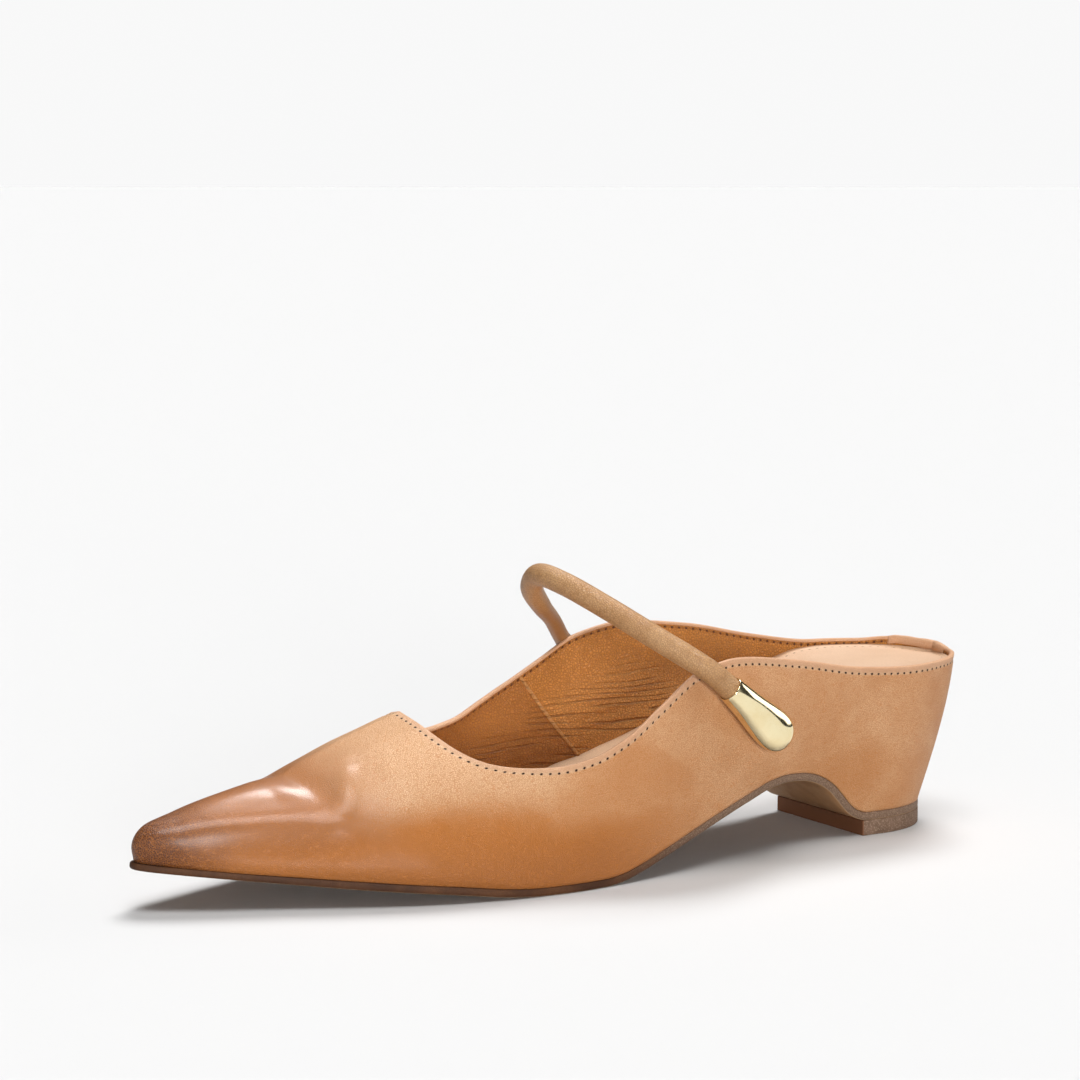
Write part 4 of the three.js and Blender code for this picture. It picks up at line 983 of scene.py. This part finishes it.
def strapPath():
    def leave(line, side, far, slim):
        way = unit(line[0] - line[1])
        inside, mouth = line[0] - way * 2.0, line[0] + way * 0.3
        after = line[0] + way * far * strapForm["width"]
        clear = skinReach(side, after[0], after[2]) + strapForm["width"] / 2 * (1 - slim) + 1 - slim
        after[1] = side["sign"] * max(abs(after[1]), clear)
        return [inside, mouth, after]

    peak, long = strapForm["peak"], form["length"]
    outer, inner = outerSide["ball"], -innerSide["ball"]
    middle = [(0.438 * long, 0.69 * outer, 0.824 * peak), (0.472 * long, 0.42 * outer, 0.915 * peak),
              (0.497 * long, 0.18 * outer, 0.98 * peak), (0.506 * long, 0.06 * inner, peak),
              (0.497 * long, 0.29 * inner, 0.946 * peak), (0.463 * long, 0.54 * inner, 0.857 * peak),
              (0.427 * long, 0.79 * inner, 0.785 * peak)]
    ends = leave(outerCap, outerSide, 1.4, 0), leave(innerCap, innerSide, 0.95, strapForm["slim"])
    path = np.array(ends[0] + middle + ends[1][::-1])
    knots = np.concatenate([[0], np.cumsum(np.linalg.norm(np.diff(path, axis=0), axis=1) ** 0.5)])
    padded = np.concatenate([[2 * path[0] - path[1]], path, [2 * path[-1] - path[-2]]])
    clock = np.concatenate([[knots[0] - (knots[1] - knots[0])], knots, [2 * knots[-1] - knots[-2]]])
    out = []
    for k in range(1, len(path)):
        p, t = padded[k - 1:k + 3], clock[k - 1:k + 3]
        for now in np.linspace(t[1], t[2], 40, endpoint=k == len(path) - 1):
            a = [p[m] + (p[m + 1] - p[m]) * (now - t[m]) / (t[m + 1] - t[m]) for m in range(3)]
            b = [a[m] + (a[m + 1] - a[m]) * (now - t[m]) / (t[m + 2] - t[m]) for m in range(2)]
            out.append(b[0] + (b[1] - b[0]) * (now - t[1]) / (t[2] - t[1]))
    return evenly(np.array(out)[None], np.linspace(0, 1, strapForm["rings"] + 1))[0]


def makeStrap():
    path = strapPath()
    along = unit(np.gradient(path, axis=0))
    side = np.cross(along, (0, 0, 1.0))
    normal = [unit(side[0])]
    for k in range(1, len(path)):
        normal.append(unit(normal[-1] - along[k] * (normal[-1] @ along[k])))
    normal = np.array(normal)
    binormal = np.cross(along, normal)
    angle = np.linspace(0, 2 * math.pi, strapForm["sides"], endpoint=False)
    share = np.linspace(0, 1, len(path))
    slim = strapForm["slim"] * ease(share, 0.58, 0.82) * (1 - ease(share, 0.9, 0.98))
    radius = strapForm["width"] / 2 * (1 - slim)
    radius[0] = radius[-1] = 0.01
    ring = normal[:, None] * np.cos(angle)[:, None] + binormal[:, None] * np.sin(angle)[:, None]
    points = path[:, None] + ring * radius[:, None, None]
    far = runsOf(path[None])[0]
    turn = np.append(angle, 2 * math.pi) * strapForm["width"] / 2
    uv = np.stack([np.repeat(far[:, None], len(turn), 1), np.repeat(turn[None], len(far), 0)], -1) / 10
    return surfacePiece("rolled_strap", points, uv)


dress(makeStrap(), strapLeather, "strap_leather", "strap")

tabForm = {"depth": 5.0, "inside": 1.7, "thick": 0.45, "thin": 0.08, "width": 25.0, "shift": -4.0,
           "stations": 48, "fade": 2.5}


# Back tab: thin binding folded over the topline behind the heel
def makeBackTab():
    half, crest = upperMesh["rimWall"] / 2, upperMesh["rim"]
    total = run[-1]
    signed = np.where(run[:-1] > total / 2, run[:-1] - total, run[:-1])
    order = np.argsort(signed)
    spread = np.linspace(-0.5, 0.5, tabForm["stations"])
    want = tabForm["shift"] + spread * tabForm["width"]
    closeness = ease((0.5 - np.abs(spread)) * tabForm["width"], 0, tabForm["fade"])
    wave = 0.85 + 0.3 * np.sin(spread * 17 + 1) * np.cos(spread * 7)

    def along(values):
        return np.stack([np.interp(want, signed[order], values[order, axis]) for axis in range(3)], -1)

    def section(near, wavy):
        thick = tabForm["thin"] + (tabForm["thick"] - tabForm["thin"]) * near * wavy
        skinAt, over = half + 0.05, half + 0.05 + thick
        deep, inside = tabForm["depth"] - 0.5 + 0.6 * near * wavy, tabForm["inside"] - 0.3 + 0.4 * wavy
        bow = -crest - thick * 0.85
        return [(over - thick * 0.6, deep), (over, deep - 0.35), (over, 2.5), (over, 0.6),
                (over * 0.85, -crest), (over * 0.5, bow), (0, -crest - thick), (-over * 0.5, bow),
                (-over * 0.85, -crest), (-over, 0.6), (-over, inside - 0.3), (-over + thick * 0.6, inside),
                (-skinAt, inside), (-skinAt, 0.2), (0, -crest + 0.1), (skinAt, 0.2), (skinAt, deep)]

    topAt, normalAt, upAt = along(top), along(topNormal), along(up)
    heart = topAt - normalAt * half
    shares = np.array([section(near, wavy) for near, wavy in zip(closeness, wave)])
    points = heart[:, None] + normalAt[:, None] * shares[..., :1] - upAt[:, None] * shares[..., 1:]
    count = points.shape[1]
    points = np.concatenate([heart[:1, None].repeat(count, 1), points, heart[-1:, None].repeat(count, 1)])
    uv = np.zeros((len(points), count + 1, 2)) + 0.05
    return surfacePiece("back_binding", points, uv)


dress(makeBackTab(), skin, "upper_leather", "back_tab")

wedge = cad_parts["wedge_heel"]
wedge.data.materials.clear()
wedge.data.materials.append(wedgeCore)
print("strap, caps and back tab made")

# Pale floor, soft light and the camera of the photograph
studio = {
    "floor": 40.0, "paper": 0.655, "bounce": 0.36, "backdrop": 0.943,
    # suns: strength, height, side and spread in degrees; side counts from the shoe's outer side to its toe
    "key": (0.82, 59, 224, 24), "top": (0.55, 79, 28, 34), "sheen": (0.46, 62, 31, 34),
    "fill": (0.93, 3, 18, 20),
    # sky: ways along and across the shoe, then spans with the strengths at their two ends
    "sky": (0.5, 0.8, 0.05, 0.12), "viewSide": (0.517, 0.856), "front": (0.1, 0.8, 0.0, 0.45),
    "frontUp": (0.3, 0.6, 1.0, 0.0), "heelSide": (-0.99, -0.1), "strip": (0.86, 0.9, 0.0, 2.4),
    "stripUp": (0.05, 0.12), "stripAcross": (-0.14, -0.08),
}
# turn and tilt in degrees, the rest in mm as first fitted; scale brings it to the size mark
photoView = {"turn": 31.117, "tilt": 6.909, "scale": 0.963, "aim": (130.76, 0, 92.32), "far": 896.67,
             "lens": 3169.1 / 1080 * 36, "sensor": 36}


# Turns a light or the camera to the shoe, and says which way it stands
def turnTo(item, side, height):
    turn, up = math.radians(side), math.radians(height)
    back = Vector((math.sin(turn) * math.cos(up), math.cos(turn) * math.cos(up), math.sin(up)))
    item.rotation_euler = (-back).to_track_quat("-Z", "Y").to_euler()
    bpy.context.scene.collection.objects.link(item)
    return back


def sunLight(name, strength, height, side, spread, diffuse=True, glossy=True):
    light = bpy.data.lights.new(name, "SUN")
    light.energy, light.angle = strength * math.pi, math.radians(spread)
    lamp = bpy.data.objects.new(name, light)
    lamp.visible_diffuse, lamp.visible_glossy = diffuse, glossy
    turnTo(lamp, side, height)


def makeSky():
    world = bpy.data.worlds.new("studioSky")
    world.use_nodes = True
    tree = world.node_tree
    tree.nodes.clear()
    x, y, z = axesOf(addNode(tree, "ShaderNodeTexCoord").outputs["Generated"])

    def toward(way, span, up):
        facing = scaled(x, studio[way][0], times(y, studio[way][1]))
        return times(rangeOf(facing, *studio[span]), rangeOf(z, *studio[up]))

    front = toward("viewSide", "front", "frontUp")
    strip = times(toward("heelSide", "strip", "stripUp"), rangeOf(y, *studio["stripAcross"]))
    tone = calc("ADD", rangeOf(z, *studio["sky"]), calc("ADD", front, strip))
    sky = addNode(tree, "ShaderNodeBackground", {"Strength": tone, "Color": (1, 1, 1, 1)})
    plain = addNode(tree, "ShaderNodeBackground", {"Strength": studio["backdrop"], "Color": (1, 1, 1, 1)})
    straight = addNode(tree, "ShaderNodeLightPath").outputs["Is Camera Ray"]
    mixed = addNode(tree, "ShaderNodeMixShader", {0: straight, 1: sky.outputs[0], 2: plain.outputs[0]})
    addNode(tree, "ShaderNodeOutputWorld", {"Surface": mixed.outputs[0]})
    bpy.context.scene.world = world
    bpy.context.scene.view_settings.view_transform = "Standard"


def makeStudio():
    bm = bmesh.new()
    bmesh.ops.create_grid(bm, x_segments=2, y_segments=2, size=studio["floor"])
    floor = finishPiece("studio_floor", bm)
    material, shader, _, _ = startMaterial("palePaper", 1.0, {"Specular IOR Level": 0.0})
    soft = addNode(material.node_tree, "ShaderNodeLightPath").outputs["Is Diffuse Ray"]
    pale, dim = (studio["paper"],) * 3 + (1,), (studio["bounce"],) * 3 + (1,)
    feed(shader, {"Base Color": blend(soft, pale, dim)})
    floor.data.materials.append(material)
    makeSky()
    sunLight("keyLight", *studio["key"])
    sunLight("topLight", *studio["top"], glossy=False)
    sunLight("sheenLight", *studio["sheen"], diffuse=False)
    sunLight("fillLight", *studio["fill"])


def makeCamera():
    data = bpy.data.cameras.new("photoView")
    data.lens, data.sensor_width = photoView["lens"], photoView["sensor"]
    data.clip_start, data.clip_end = 0.01, 20
    camera = bpy.data.objects.new("photoView", data)
    back = turnTo(camera, photoView["turn"], photoView["tilt"])
    aim = Vector((np.array(photoView["aim"]) * photoView["scale"] + shoeStart) / 1000)
    camera.location = aim + back * photoView["far"] * photoView["scale"] / 1000
    bpy.context.scene.camera = camera


makeStudio()
makeCamera()
print("studio ready")
